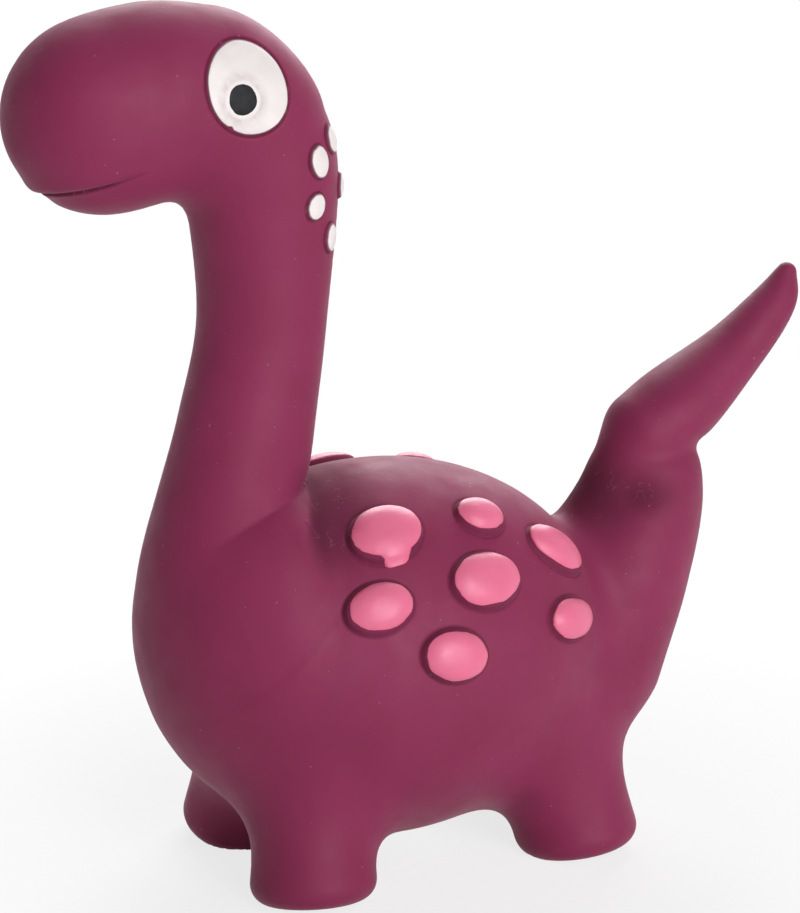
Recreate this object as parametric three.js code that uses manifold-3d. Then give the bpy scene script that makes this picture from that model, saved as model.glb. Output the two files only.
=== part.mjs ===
// A squeaky dog toy: a long-necked dinosaur, slush-moulded in latex as one hollow skin, painted with
// coloured latex, with a plastic squeaker pressed into a hole in its belly. Millimetres, +Z up, head
// towards -X, the toy's left side towards -Y. The origin is on the ground, midway between the nose and the
// tip of the tail.
import * as THREE from "three";
import { mergeVertices } from "three/addons/utils/BufferGeometryUtils.js";
import Module from "manifold-3d";

const wasm = await Module();
wasm.setup();

// Main sizes: nose to tail tip, and ground to the top of the head
const toyLength = 131;
const toyHeight = 133;
const noseX = -toyLength / 2;
const tailEndX = toyLength / 2;

// Body: an egg on its side. bodyFromNose runs from the nose to its middle.
const bodyLength = 75;
const bodyWidth = 54;
const bodyHeight = 59;
const bodyFromNose = 56;
const bellyClearance = 4;
const bodyTilt = -2;
const bodyMiddleX = noseX + bodyFromNose;
const bodyMiddleZ = bellyClearance + bodyHeight / 2;
const rumpX = bodyMiddleX + bodyLength / 2;

// Head, neck, stem and tail are round sweeps in the middle plane, through stations. A station has its
// radius, and its width as a share of its height. Head stations: back from the nose, down from the top of
// the head
const snout = { back: 12.4, down: 16, radius: 12.6, wide: 0.92 };
const cheek = { back: 14.2, down: 15.6, radius: 14, wide: 0.95 };
const brow = { back: 21.7, down: 13.9, radius: 13.9, wide: 0.97 };
const skull = { back: 28.9, down: 13, radius: 12.3, wide: 0.98 };
const neckTop = { back: 35.4, down: 18.3, radius: 11.6, wide: 1 };

// Neck stations: share of the way up from the chest to the neck's top, and how far they bow forwards from it
const throat = { rise: 0.89, bow: -1.8, radius: 11.3, wide: 1 };
const midNeck = { rise: 0.6, bow: -0.7, radius: 9.6, wide: 1 };
const lowNeck = { rise: 0.36, bow: 3, radius: 10.3, wide: 1 };
const neckRoot = { rise: 0.12, bow: 7.2, radius: 11.8, wide: 1 };
const chest = { ahead: 17.5, up: 10.5, radius: 19.2, wide: 1 };

// Stem stations and the kink where the tail starts: back from the rump, up from the body's middle
const stemFoot = { back: -1.2, up: -6, radius: 12.8, wide: 1.15 };
const stemMiddle = { back: 3.8, up: 6.6, radius: 12.2, wide: 1.12 };
const stemShoulder = { back: 8.9, up: 18.6, radius: 10.5, wide: 1 };
const stemTop = { back: 10.5, up: 28.1, radius: 7.7, wide: 0.9 };
const kink = { back: 9.7, up: 30.3, radius: 5.8, wide: 1.2 };

// Tail stations: shares of the way back and up from the kink to the tail's tip
const tailRoot = { run: 0.21, rise: 0.12, radius: 6.7, wide: 1.15 };
const midTail = { run: 0.6, rise: 0.45, radius: 5, wide: 1.08 };
const thinTail = { run: 0.91, rise: 0.79, radius: 3.6, wide: 1 };
const tailTip = { short: 1.6, up: 53.5, radius: 1.7, wide: 1 };

// Legs: short round posts that lean outwards from hidden tops in the body, placed back from the body's middle
const legTopRadius = 7;
const footRadius = 10;
const footRounding = 3.5;
const legTopHeight = 22;
const legTopSpread = 10.5;
const frontLeg = { topBack: -16.5, footBack: -17.5, footSpread: 15.5, blend: 8 };
const rearLeg = { topBack: 26.5, footBack: 28.5, footSpread: 14.5, blend: 11 };

// How softly the forms run into each other. The neck runs softly into the breast and meets the back in a
// fold, and its blend changes from one to the other within a stretch ahead of and behind the chest's
// middle.
const headBlend = 6;
const breastBlend = 9.5;
const backFold = 2;
const foldStretch = 6;
const rumpBlend = 4.5;
const tailBlend = 1.5;

// Mouth: a groove round the snout that rises towards the cheeks and runs out there
const mouth = { down: 26.2, rise: 3.9, halfTurn: 108, radius: 1, depth: 0.9 };

// Pink spots on the back: place back from the body's middle, turn from the top of the back down the flank
// in degrees, and the painted oval's half length, half width and turn. The upper two lie in other places on
// the right.
const backSpots = [
  { back: -6.5, side: 38, length: 5.2, width: 4.1, turn: 12, onRight: { back: -2, side: 30 } },
  { back: 10, side: 33, length: 3.6, width: 2.9, turn: 0, onRight: { back: 14, side: 28 } },
  { back: 23, side: 42, length: 4.8, width: 3.2, turn: -18 },
  { back: 7.5, side: 55, length: 5.6, width: 3.9, turn: 6 },
  { back: -10, side: 59, length: 4.6, width: 3.3, turn: 6 },
  { back: 0.5, side: 77, length: 4.8, width: 3.5, turn: -10 },
  { back: 23, side: 71, length: 4.3, width: 2.9, turn: 0 },
];

// White drops down the nape: share of the way up from the chest to the neck's top, and turn from the back
// of the neck round to the side
const napeSpots = [
  { rise: 0.98, side: 41, length: 1.9, width: 1.6, turn: 0 },
  { rise: 0.94, side: 62, length: 2.3, width: 1.8, turn: 10 },
  { rise: 0.88, side: 24, length: 1.8, width: 1.6, turn: 0 },
  { rise: 0.86, side: 68, length: 1.9, width: 1.6, turn: -20 },
  { rise: 0.78, side: 46, length: 2.1, width: 1.5, turn: 10 },
];

// The eye's white, back from the nose and down from the top of the head, and the pupil from the white's
// middle
const eye = { back: 31.1, down: 11.6, length: 6.2, width: 6.7, turn: 35 };
const pupil = { ahead: 1.1, below: 1.5, length: 2, width: 2.3, turn: 0 };

// Mould and coats of coloured latex
const wall = 3;
const bossHeight = 1.2;
const bossRoot = 1.5;
const bossLedge = 0.2;
const bossFlare = 0.9;
const bossSoftness = 0.1;
const coat = 0.6;
const clearance = 0.3;

// Squeaker: a plastic grommet in the belly, a tube in it, and in the tube the block, wedge and reed
const plugBack = 5.5;
const flangeRadius = 8;
const flangeThickness = 1.4;
const flangeSink = 1.5;
const plugNeckRadius = 6;
const plugBeadRadius = 7;
const plugBeadHeight = 2;
const plugChamfer = 0.4;
const beadTaper = 1;
const airHoleRadius = 2.5;
const plugFloor = 1.6;
const rimRadius = 12;
const rimThickness = 6.5;
const tubeRadius = 4;
const tubeWall = 0.8;
const tubeLength = 14;
const reedLength = 10;
const reedWidth = 3.6;
const reedThickness = 0.4;
const reedRoot = 3;
const blockOverhang = 1;
const channelWidth = 2.2;
const channelFloor = 0.9;
const reedSwing = 3;

// How far a cutting solid runs past the face that it cuts
const past = 1;

// Fineness of the outer and inner skin, the round coats, the turned pieces and the mouth
const outerCell = 3.4;
const innerCell = 4.6;
const spotSides = 12;
const turnedSides = 28;
const mouthSides = 6;
const mouthSteps = 28;

const latex = new THREE.MeshStandardMaterial({ color: 0x8b3a5c, roughness: 0.55, metalness: 0 });
const pinkLatex = new THREE.MeshStandardMaterial({ color: 0xee7a9c, roughness: 0.45, metalness: 0 });
const whiteLatex = new THREE.MeshStandardMaterial({ color: 0xf4ecec, roughness: 0.5, metalness: 0 });
const blackLatex = new THREE.MeshStandardMaterial({ color: 0x2c2b30, roughness: 0.4, metalness: 0 });
const whitePlastic = new THREE.MeshStandardMaterial({ color: 0xe9e6df, roughness: 0.35, metalness: 0 });
const clearFilm = new THREE.MeshStandardMaterial({ color: 0xd8d4c8, roughness: 0.2, metalness: 0 });

const radians = THREE.MathUtils.degToRad;
const toy = new THREE.Group();

function addPiece(name, geometry, material) {
  const mesh = new THREE.Mesh(geometry, material);
  mesh.name = name;
  toy.add(mesh);
  return mesh;
}

// Two points closer than this are one point
const tiny = 1e-4;

// Solids: closed geometry to solid and back

function solidFrom(geometry) {
  const bare = geometry.clone().deleteAttribute("normal").deleteAttribute("uv");
  const merged = mergeVertices(bare, tiny);
  return new wasm.Manifold(
    new wasm.Mesh({
      numProp: 3,
      vertProperties: merged.attributes.position.array,
      triVerts: new Uint32Array(merged.index.array),
    }),
  );
}

function geometryFrom(solid) {
  const mesh = solid.getMesh();
  const geometry = new THREE.BufferGeometry();
  geometry.setAttribute("position", new THREE.BufferAttribute(mesh.vertProperties, 3));
  geometry.setIndex(new THREE.BufferAttribute(mesh.triVerts, 1));
  geometry.computeVertexNormals();
  return geometry;
}

// The form: a field that is the distance to the toy's outer surface, negative inside

function smoothMin(a, b, blend) {
  const overlap = Math.max(blend - Math.abs(a - b), 0) / blend;
  return Math.min(a, b) - (overlap * overlap * blend) / 4;
}

const stepsPerStation = 5;

// The stations joined by a smooth curve, as short straight steps
function sweepLine(stations) {
  const curve = new THREE.CatmullRomCurve3(
    stations.map((s) => new THREE.Vector3(s.x, s.z, s.radius)),
    false,
    "catmullrom",
  );
  const steps = (stations.length - 1) * stepsPerStation;
  return curve.getPoints(steps).map((point, i) => {
    const share = i / stepsPerStation;
    const from = stations[Math.floor(share)];
    const to = stations[Math.min(Math.floor(share) + 1, stations.length - 1)];
    const wide = THREE.MathUtils.lerp(from.wide, to.wide, share % 1);
    return { x: point.x, z: point.y, radius: point.z, wide };
  });
}

function sweepDistance(line, x, y, z) {
  let nearest = Infinity;
  for (let i = 1; i < line.length; i++) {
    const a = line[i - 1];
    const b = line[i];
    const dx = b.x - a.x;
    const dz = b.z - a.z;
    const along = ((x - a.x) * dx + (z - a.z) * dz) / (dx * dx + dz * dz);
    const t = THREE.MathUtils.clamp(along, 0, 1);
    const radius = a.radius + t * (b.radius - a.radius);
    const wide = a.wide + t * (b.wide - a.wide);
    const off = Math.hypot(x - a.x - t * dx, y / wide, z - a.z - t * dz);
    nearest = Math.min(nearest, off - radius);
  }
  return nearest;
}

const bodyRadii = new THREE.Vector3(bodyLength / 2, bodyWidth / 2, bodyHeight / 2);
const bodyMiddle = new THREE.Vector3(bodyMiddleX, 0, bodyMiddleZ);

function bodyDistance(x, y, z) {
  const tilt = radians(bodyTilt);
  const right = (x - bodyMiddle.x) * Math.cos(tilt) + (z - bodyMiddle.z) * Math.sin(tilt);
  const up = (z - bodyMiddle.z) * Math.cos(tilt) - (x - bodyMiddle.x) * Math.sin(tilt);
  const k = Math.hypot(right / bodyRadii.x, y / bodyRadii.y, up / bodyRadii.z);
  const slope = Math.hypot(right / bodyRadii.x ** 2, y / bodyRadii.y ** 2, up / bodyRadii.z ** 2);
  return (k * (k - 1)) / Math.max(slope, tiny);
}

function legDistance({ topBack, footBack, footSpread }, x, y, z) {
  const top = new THREE.Vector3(bodyMiddleX + topBack, legTopSpread, legTopHeight);
  const axis = new THREE.Vector3(bodyMiddleX + footBack, footSpread, 0).sub(top);
  const length = axis.length();
  axis.normalize();
  const from = new THREE.Vector3(x, y, z).sub(top);
  const along = from.dot(axis);
  const share = THREE.MathUtils.clamp(along / length, 0, 1);
  const radius = THREE.MathUtils.lerp(legTopRadius, footRadius, share);
  const out = from.addScaledVector(axis, -along).length() - (radius - footRounding);
  const past = Math.abs(along - length / 2) - (length / 2 - footRounding);
  const inside = Math.min(Math.max(out, past), 0);
  return inside + Math.hypot(Math.max(out, 0), Math.max(past, 0)) - footRounding;
}

// Stations in their places
const onHead = (station) => ({ ...station, x: noseX + station.back, z: toyHeight - station.down });
const onRump = (station) => ({ ...station, x: rumpX + station.back, z: bodyMiddleZ + station.up });
const chestPlace = { ...chest, x: bodyMiddleX - chest.ahead, z: bodyMiddleZ + chest.up };
const tailTipPlace = { ...tailTip, x: tailEndX - tailTip.short, z: bodyMiddleZ + tailTip.up };
const neckTopPlace = onHead(neckTop);
const kinkPlace = onRump(kink);

function onNeck(station) {
  const x = THREE.MathUtils.lerp(chestPlace.x, neckTopPlace.x, station.rise) - station.bow;
  return { ...station, x, z: THREE.MathUtils.lerp(chestPlace.z, neckTopPlace.z, station.rise) };
}

function onTail(station) {
  const x = THREE.MathUtils.lerp(kinkPlace.x, tailTipPlace.x, station.run);
  return { ...station, x, z: THREE.MathUtils.lerp(kinkPlace.z, tailTipPlace.z, station.rise) };
}

const headLine = sweepLine([snout, cheek, brow, skull].map(onHead));
const neckLine = sweepLine([neckTopPlace, ...[throat, midNeck, lowNeck, neckRoot].map(onNeck), chestPlace]);
const stemLine = sweepLine([stemFoot, stemMiddle, stemShoulder, stemTop].map(onRump));
const tailLine = sweepLine([kinkPlace, ...[tailRoot, midTail, thinTail].map(onTail), tailTipPlace]);

function neckBlendAt(x) {
  const share = THREE.MathUtils.smoothstep(x, chestPlace.x - foldStretch, chestPlace.x + foldStretch);
  return THREE.MathUtils.lerp(breastBlend, backFold, share);
}

function toyDistance(x, ySigned, z) {
  const y = Math.abs(ySigned);
  const neck = sweepDistance(neckLine, x, y, z);
  const headAndNeck = smoothMin(neck, sweepDistance(headLine, x, y, z), headBlend);
  let form = smoothMin(bodyDistance(x, y, z), sweepDistance(stemLine, x, y, z), rumpBlend);
  form = smoothMin(form, headAndNeck, neckBlendAt(x));
  form = smoothMin(form, sweepDistance(tailLine, x, y, z), tailBlend);
  for (const leg of [frontLeg, rearLeg]) form = smoothMin(form, legDistance(leg, x, y, z), leg.blend);
  return Math.max(form, -z);
}

// The direction in which a field grows fastest, and how fast
function slopeOf(field, p) {
  const h = 0.02;
  return new THREE.Vector3(
    field(p.x + h, p.y, p.z) - field(p.x - h, p.y, p.z),
    field(p.x, p.y + h, p.z) - field(p.x, p.y - h, p.z),
    field(p.x, p.y, p.z + h) - field(p.x, p.y, p.z - h),
  ).divideScalar(2 * h);
}

// A box round every form, with room to spare
const margin = 6;
const reach = new THREE.Box3();
for (const { x, z, radius, wide } of [...headLine, ...neckLine, ...stemLine, ...tailLine]) {
  const size = new THREE.Vector3(1, Math.max(wide, 1), 1).multiplyScalar(2 * (radius + margin));
  reach.union(new THREE.Box3().setFromCenterAndSize(new THREE.Vector3(x, 0, z), size));
}
const bodyBox = new THREE.Box3(bodyMiddle.clone().sub(bodyRadii), bodyMiddle.clone().add(bodyRadii));
reach.union(bodyBox.expandByScalar(margin));
for (const { footBack, footSpread } of [frontLeg, rearLeg]) {
  const size = new THREE.Vector3(footRadius, footSpread + footRadius, margin).multiplyScalar(2);
  const foot = new THREE.Vector3(bodyMiddleX + footBack, 0, 0);
  reach.union(new THREE.Box3().setFromCenterAndSize(foot, size).expandByScalar(margin));
}

// The closed surface where a field is zero, as a surface net: one vertex in each grid cell that the surface
// crosses, moved onto the surface, and one quad across each grid edge that the surface cuts. The grid has
// planes at the ground and in the middle plane, so both sides get the same net.
function surfaceNet(field, cell) {
  const first = reach.min.clone().divideScalar(cell).floor();
  const count = reach.max.clone().divideScalar(cell).ceil().sub(first).addScalar(1);
  const at = (i, j, k) => (i * count.y + j) * count.z + k;
  const values = new Float64Array(count.x * count.y * count.z);
  const place = (i, j, k) => new THREE.Vector3(i, j, k).add(first).multiplyScalar(cell);
  for (let i = 0; i < count.x; i++)
    for (let j = 0; j < count.y; j++)
      for (let k = 0; k < count.z; k++) {
        const p = place(i, j, k);
        values[at(i, j, k)] = field(p.x, p.y, p.z);
      }

  const positions = [];
  const vertexOf = new Map();
  const steps = [
    [1, 0, 0],
    [0, 1, 0],
    [0, 0, 1],
  ];
  const crosses = (a, b) => a < 0 !== b < 0;
  const flattest = 0.5;

  // Two sheets that come within a cell of each other would share an edge. Each grid square whose corners
  // change side all the way round gets its corner nearest to the surface put on the other side.
  function partSheets() {
    let parted = false;
    for (let i = 0; i < count.x - 1; i++)
      for (let j = 0; j < count.y - 1; j++)
        for (let k = 0; k < count.z - 1; k++)
          for (const [u, v] of [[steps[0], steps[1]], [steps[1], steps[2]], [steps[2], steps[0]]]) {
            const corners = [[0, 0], [1, 0], [1, 1], [0, 1]].map(([a, b]) =>
              at(i + a * u[0] + b * v[0], j + a * u[1] + b * v[1], k + a * u[2] + b * v[2]),
            );
            if (!corners.every((c, n) => crosses(values[c], values[corners[(n + 1) % 4]]))) continue;
            corners.sort((a, b) => Math.abs(values[a]) - Math.abs(values[b]));
            values[corners[0]] *= -1;
            parted = true;
          }
    return parted;
  }
  while (partSheets());

  // The mean of the places where the surface cuts the edges of a cell, or nothing
  function cellPoint(i, j, k) {
    const sum = new THREE.Vector3();
    let cuts = 0;
    for (let corner = 0; corner < 8; corner++) {
      const [a, b, c] = [i + (corner & 1), j + ((corner >> 1) & 1), k + ((corner >> 2) & 1)];
      for (const [di, dj, dk] of steps) {
        if (a + di > i + 1 || b + dj > j + 1 || c + dk > k + 1) continue;
        const here = values[at(a, b, c)];
        const there = values[at(a + di, b + dj, c + dk)];
        if (!crosses(here, there)) continue;
        sum.add(place(a, b, c).lerp(place(a + di, b + dj, c + dk), here / (here - there)));
        cuts++;
      }
    }
    return cuts ? sum.divideScalar(cuts) : null;
  }

  for (let i = 0; i < count.x - 1; i++)
    for (let j = 0; j < count.y - 1; j++)
      for (let k = 0; k < count.z - 1; k++) {
        const p = cellPoint(i, j, k);
        if (!p) continue;
        for (let pass = 0; pass < 3; pass++) {
          const slope = slopeOf(field, p);
          const step = -field(p.x, p.y, p.z) / Math.max(slope.lengthSq(), flattest);
          p.addScaledVector(slope, THREE.MathUtils.clamp(step, -cell / 2, cell / 2));
        }
        vertexOf.set(at(i, j, k), positions.length / 3);
        positions.push(p.x, p.y, p.z);
      }

  const triangles = [];
  const reachOf = (a, b) => Math.hypot(...[0, 1, 2].map((n) => positions[3 * a + n] - positions[3 * b + n]));
  for (let i = 1; i < count.x - 1; i++)
    for (let j = 1; j < count.y - 1; j++)
      for (let k = 1; k < count.z - 1; k++)
        steps.forEach(([di, dj, dk], axis) => {
          const here = values[at(i, j, k)];
          if (!crosses(here, values[at(i + di, j + dj, k + dk)])) return;
          const [u, v] = [steps[(axis + 1) % 3], steps[(axis + 2) % 3]];
          const around = [[1, 1], [0, 1], [0, 0], [1, 0]].map(([a, b]) =>
            vertexOf.get(at(i - a * u[0] - b * v[0], j - a * u[1] - b * v[1], k - a * u[2] - b * v[2])),
          );
          const [a, b, c, d] = here < 0 ? around : around.reverse();
          // The quad is cut along its shorter diagonal
          if (reachOf(a, c) <= reachOf(b, d)) triangles.push(a, b, c, a, c, d);
          else triangles.push(b, c, d, b, d, a);
        });

  const geometry = new THREE.BufferGeometry();
  geometry.setAttribute("position", new THREE.Float32BufferAttribute(positions, 3));
  geometry.setIndex(triangles);
  return geometry;
}

// Patches: shallow oval pieces that follow the skin

// A patch's frame: it grows from a point in the middle plane outwards. pitch is the way out in the middle
// plane (0 towards the tail, 90 up) and side the turn from there to the left.
function patchFrame({ x, z, side, pitch, turn }) {
  const [p, s, t] = [radians(pitch), radians(side), radians(turn)];
  const out = new THREE.Vector3(Math.cos(s) * Math.cos(p), -Math.sin(s), Math.cos(s) * Math.sin(p));
  const along = new THREE.Vector3(Math.sin(p), 0, -Math.cos(p)).applyAxisAngle(out, t);
  return { origin: new THREE.Vector3(x, 0, z), out, along, across: out.clone().cross(along) };
}

// The point on a line outwards that stands at a height over the skin
const farthest = 60;

function raisedPoint(start, out, height) {
  let [inside, outside] = [0, farthest];
  while (outside - inside > 1e-4) {
    const middle = (inside + outside) / 2;
    const p = start.clone().addScaledVector(out, middle);
    if (toyDistance(p.x, p.y, p.z) < height) inside = middle;
    else outside = middle;
  }
  return start.clone().addScaledVector(out, inside);
}

// A closed surface over rings of points. The first and the last ring are single points, and the others have
// as many points each.
function ringGeometry(rings) {
  const sides = rings[1].length;
  const last = 1 + (rings.length - 2) * sides;
  const at = (ring, i) => 1 + (ring - 1) * sides + (i % sides);
  const triangles = [];
  for (let i = 0; i < sides; i++) {
    triangles.push(0, at(1, i), at(1, i + 1));
    for (let r = 1; r < rings.length - 2; r++) {
      triangles.push(at(r, i), at(r + 1, i), at(r + 1, i + 1));
      triangles.push(at(r, i), at(r + 1, i + 1), at(r, i + 1));
    }
    triangles.push(at(rings.length - 2, i), last, at(rings.length - 2, i + 1));
  }
  const geometry = new THREE.BufferGeometry().setFromPoints(rings.flat());
  geometry.setIndex(triangles);
  geometry.computeVertexNormals();
  return geometry;
}

// profile runs from the middle of the outer face over the rim to the middle of the inner face. Each step of
// it is a share of the oval, a width to add to it, and a height over the skin; the first and the last are
// single points.
function patchGeometry(spot, profile, mirrored) {
  const { origin, out, along, across } = patchFrame(spot);
  const rings = profile.map(([share, extra, height], r) => {
    const single = r === 0 || r === profile.length - 1;
    return Array.from({ length: single ? 1 : spotSides }, (_, i) => {
      const angle = ((mirrored ? -1 : 1) * 2 * Math.PI * i) / spotSides;
      const start = origin
        .clone()
        .addScaledVector(along, Math.cos(angle) * (spot.length * share + extra))
        .addScaledVector(across, Math.sin(angle) * (spot.width * share + extra));
      const point = raisedPoint(start, out, height);
      return mirrored ? point.setY(-point.y) : point;
    });
  });
  return ringGeometry(rings);
}

// The middle of the neck at a height
function neckMiddle(z) {
  const above = neckLine.findLast((station) => station.z >= z);
  const below = neckLine.find((station) => station.z < z);
  return THREE.MathUtils.mapLinear(z, above.z, below.z, above.x, below.x);
}

const straightUp = 90;
const sideways = 90;
const onBack = (spot) => ({ ...spot, x: bodyMiddleX + spot.back, z: bodyMiddleZ, pitch: straightUp });
const onRightBack = (spot) => onBack({ ...spot, ...spot.onRight });
const onCheek = (spot) => ({ ...spot, side: sideways, pitch: straightUp });
const eyePlace = onCheek(onHead(eye));
const pupilPlace = onCheek({ ...pupil, x: eyePlace.x - pupil.ahead, z: eyePlace.z - pupil.below });

function onNape(spot) {
  const z = THREE.MathUtils.lerp(chestPlace.z, neckTopPlace.z, spot.rise);
  return { ...spot, x: neckMiddle(z), z, pitch: 0 };
}

const bossRings = [
  [0, 0, bossHeight],
  [1, bossLedge, bossHeight - bossSoftness],
  [1, bossFlare, -bossRoot],
  [0, 0, -bossRoot],
];

// A coat stands over its seat by the clearance, is thickest in its middle and thins to a round rim
const coatRings = (seat) => [
  [0, 0, seat + clearance + coat],
  [0.7, 0, seat + clearance + coat],
  [1, 0, seat + clearance + coat / 3],
  [0.6, 0, seat + clearance],
  [0, 0, seat + clearance],
];

// A coat on each side. The right one lies in the left one's place mirrored, or in a place of its own.
function addPair(name, seat, material, left, right = left) {
  addPiece(name.replace("SIDE", "left"), patchGeometry(left, coatRings(seat), false), material);
  addPiece(name.replace("SIDE", "right"), patchGeometry(right, coatRings(seat), true), material);
}

// The skin

// A round cord that cuts the mouth. Its middle runs round the snout over the skin, and lifts off it at both
// ends.
function mouthSolid() {
  const middles = [];
  for (let i = 0; i <= mouthSteps; i++) {
    const share = (2 * i) / mouthSteps - 1;
    const turn = radians(mouth.halfTurn * share);
    const z = toyHeight - mouth.down + mouth.rise * share ** 2;
    const start = new THREE.Vector3(noseX + cheek.back, 0, z);
    const out = new THREE.Vector3(-Math.cos(turn), Math.sin(turn), 0);
    const height = mouth.radius - mouth.depth * (1 - share ** 4);
    middles.push(raisedPoint(start, out, height));
  }
  const after = (i) => middles[Math.min(i + 1, mouthSteps)];
  const before = (i) => middles[Math.max(i - 1, 0)];
  const along = (i) => after(i).clone().sub(before(i)).normalize();
  const rings = middles.map((middle, i) => {
    const side = new THREE.Vector3(0, 0, 1).cross(along(i)).normalize();
    const up = side.clone().cross(along(i));
    return Array.from({ length: mouthSides }, (_, n) => {
      const angle = (2 * Math.PI * n) / mouthSides;
      return middle
        .clone()
        .addScaledVector(side, Math.cos(angle) * mouth.radius)
        .addScaledVector(up, Math.sin(angle) * mouth.radius);
    });
  });
  return solidFrom(ringGeometry([[middles[0]], ...rings, [middles[mouthSteps]]]));
}

function latexSkin() {
  let skin = solidFrom(surfaceNet(toyDistance, outerCell)).subtract(mouthSolid());
  for (const spot of backSpots) {
    skin = skin.add(solidFrom(patchGeometry(onBack(spot), bossRings, false)));
    skin = skin.add(solidFrom(patchGeometry(onRightBack(spot), bossRings, true)));
  }

  // The hollow follows the skin at the wall's thickness. Thin ends, such as the tail tip, fill up in the
  // mould.
  const hollows = solidFrom(surfaceNet((x, y, z) => toyDistance(x, y, z) + wall, innerCell)).decompose();
  const hollow = hollows.sort((a, b) => b.volume() - a.volume())[0];
  const rim = solidFrom(turned([[0, 0], [rimRadius, 0], [rimRadius, rimTop], [0, rimTop]]));
  const seat = solidFrom(turned([[0, -past], [seatRadius, -past], [seatRadius, seatTop], [0, seatTop]]));
  const hole = solidFrom(turned([[0, 0], [holeRadius, 0], [holeRadius, rimTop + past], [0, rimTop + past]]));
  return skin.subtract(hollow.subtract(rim)).subtract(seat).subtract(hole);
}

// The squeaker, upright on the axis of the belly hole

const plugX = bodyMiddleX + plugBack;

function turned(profile) {
  const points = profile.map(([radius, height]) => new THREE.Vector2(radius, height));
  return new THREE.LatheGeometry(points, turnedSides).rotateX(Math.PI / 2).translate(plugX, 0, 0);
}

const bellyZ = raisedPoint(new THREE.Vector3(plugX, 0, bodyMiddleZ), new THREE.Vector3(0, 0, -1), 0).z;
const flangeBottom = bellyZ + flangeSink;
const flangeTop = flangeBottom + flangeThickness;
const seatTop = flangeTop + clearance;
const seatRadius = flangeRadius + clearance;
const holeRadius = plugNeckRadius + clearance;
const rimTop = bellyZ + rimThickness;
const beadBottom = rimTop + clearance;
const beadTop = beadBottom + plugBeadHeight;
const boreRadius = tubeRadius + clearance;
const tubeBottom = flangeBottom + plugFloor + clearance;
const tubeBore = tubeRadius - tubeWall;
const coreRadius = tubeBore - clearance;
const reedBottom = tubeBottom + clearance;
const hingeZ = reedBottom + reedRoot;

const plugGeometry = turned([
  [airHoleRadius, flangeBottom],
  [flangeRadius - plugChamfer, flangeBottom],
  [flangeRadius, flangeBottom + plugChamfer],
  [flangeRadius, flangeTop],
  [plugNeckRadius, flangeTop],
  [plugNeckRadius, beadBottom],
  [plugBeadRadius, beadBottom + plugChamfer],
  [plugBeadRadius - beadTaper, beadTop],
  [boreRadius, beadTop],
  [boreRadius, flangeBottom + plugFloor],
  [airHoleRadius, flangeBottom + plugFloor],
  [airHoleRadius, flangeBottom],
]);

const tubeTop = tubeBottom + tubeLength;
const tubeGeometry = turned([
  [tubeBore, tubeBottom],
  [tubeRadius, tubeBottom],
  [tubeRadius, tubeTop],
  [tubeBore, tubeTop],
  [tubeBore, tubeBottom],
]);

// A plate cut from its side view of x from the axis and z, and as wide as given
function plate(sideView, width) {
  const shape = new THREE.Shape(sideView.map(([x, z]) => new THREE.Vector2(x, z)));
  const geometry = new THREE.ExtrudeGeometry(shape, { depth: width, bevelEnabled: false });
  return geometry.rotateX(Math.PI / 2).translate(plugX, width / 2, 0);
}

// An oblong side view between two places along x and two heights
const oblong = (left, right, low, high) => [[left, low], [right, low], [right, high], [left, high]];

// A piece of the round core in the tube's bore, up to a height
function coreSolid(top) {
  return solidFrom(turned([[0, reedBottom], [coreRadius, reedBottom], [coreRadius, top], [0, top]]));
}

// The half-round block carries the reed on the two edges of its channel, which slope away by the reed's swing
function blockSolid() {
  const low = reedBottom - past;
  const top = reedBottom + reedLength + blockOverhang;
  const lay = -reedThickness / 2 - clearance;
  const layEnd = lay - (top - hingeZ) * Math.tan(radians(reedSwing));
  const carrying = [[lay, low], [lay, hingeZ], [layEnd, top + past]];
  const sideView = [[-tubeRadius, low], ...carrying, [-tubeRadius, top + past]];
  const channel = oblong(channelFloor - coreRadius, tubeRadius, low, top + past);
  const half = coreSolid(top).intersect(solidFrom(plate(sideView, 2 * tubeRadius)));
  return half.subtract(solidFrom(plate(channel, channelWidth)));
}

// The wedge pinches the reed's root against the block
function wedgeSolid() {
  const top = hingeZ - clearance;
  const face = reedThickness / 2 + clearance;
  const sideView = oblong(face, tubeRadius, reedBottom - past, top + past);
  return coreSolid(top).intersect(solidFrom(plate(sideView, 2 * tubeRadius)));
}

function reedGeometry() {
  const half = reedThickness / 2;
  return plate(oblong(-half, half, reedBottom, reedBottom + reedLength), reedWidth);
}

addPiece("latex_skin", geometryFrom(latexSkin()), latex);
addPair("eye_white_SIDE", 0, whiteLatex, eyePlace);
addPair("pupil_SIDE", clearance + coat, blackLatex, pupilPlace);
backSpots.forEach((spot, i) => {
  addPair(`back_spot_SIDE_${i + 1}`, bossHeight, pinkLatex, onBack(spot), onRightBack(spot));
});
napeSpots.forEach((spot, i) => addPair(`nape_spot_SIDE_${i + 1}`, 0, whiteLatex, onNape(spot)));
addPiece("squeaker_plug", plugGeometry, whitePlastic);
addPiece("reed_tube", tubeGeometry, whitePlastic);
addPiece("reed_block", geometryFrom(blockSolid()), whitePlastic);
addPiece("reed_wedge", geometryFrom(wedgeSolid()), whitePlastic);
addPiece("reed_tongue", reedGeometry(), clearFilm);

export default toy;
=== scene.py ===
# A hand-painted latex dinosaur dog toy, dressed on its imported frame.
# The skin, its bosses, grooves and painted coats are worked out in millimetres and made in metres.
# +Z is up, the head points towards -X, and the toy's left side, which the camera sees, is towards -Y.
import math

import bpy
import numpy as np
from bpy.props import FloatProperty, FloatVectorProperty, IntProperty, PointerProperty
from mathutils import Matrix, Vector


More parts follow.
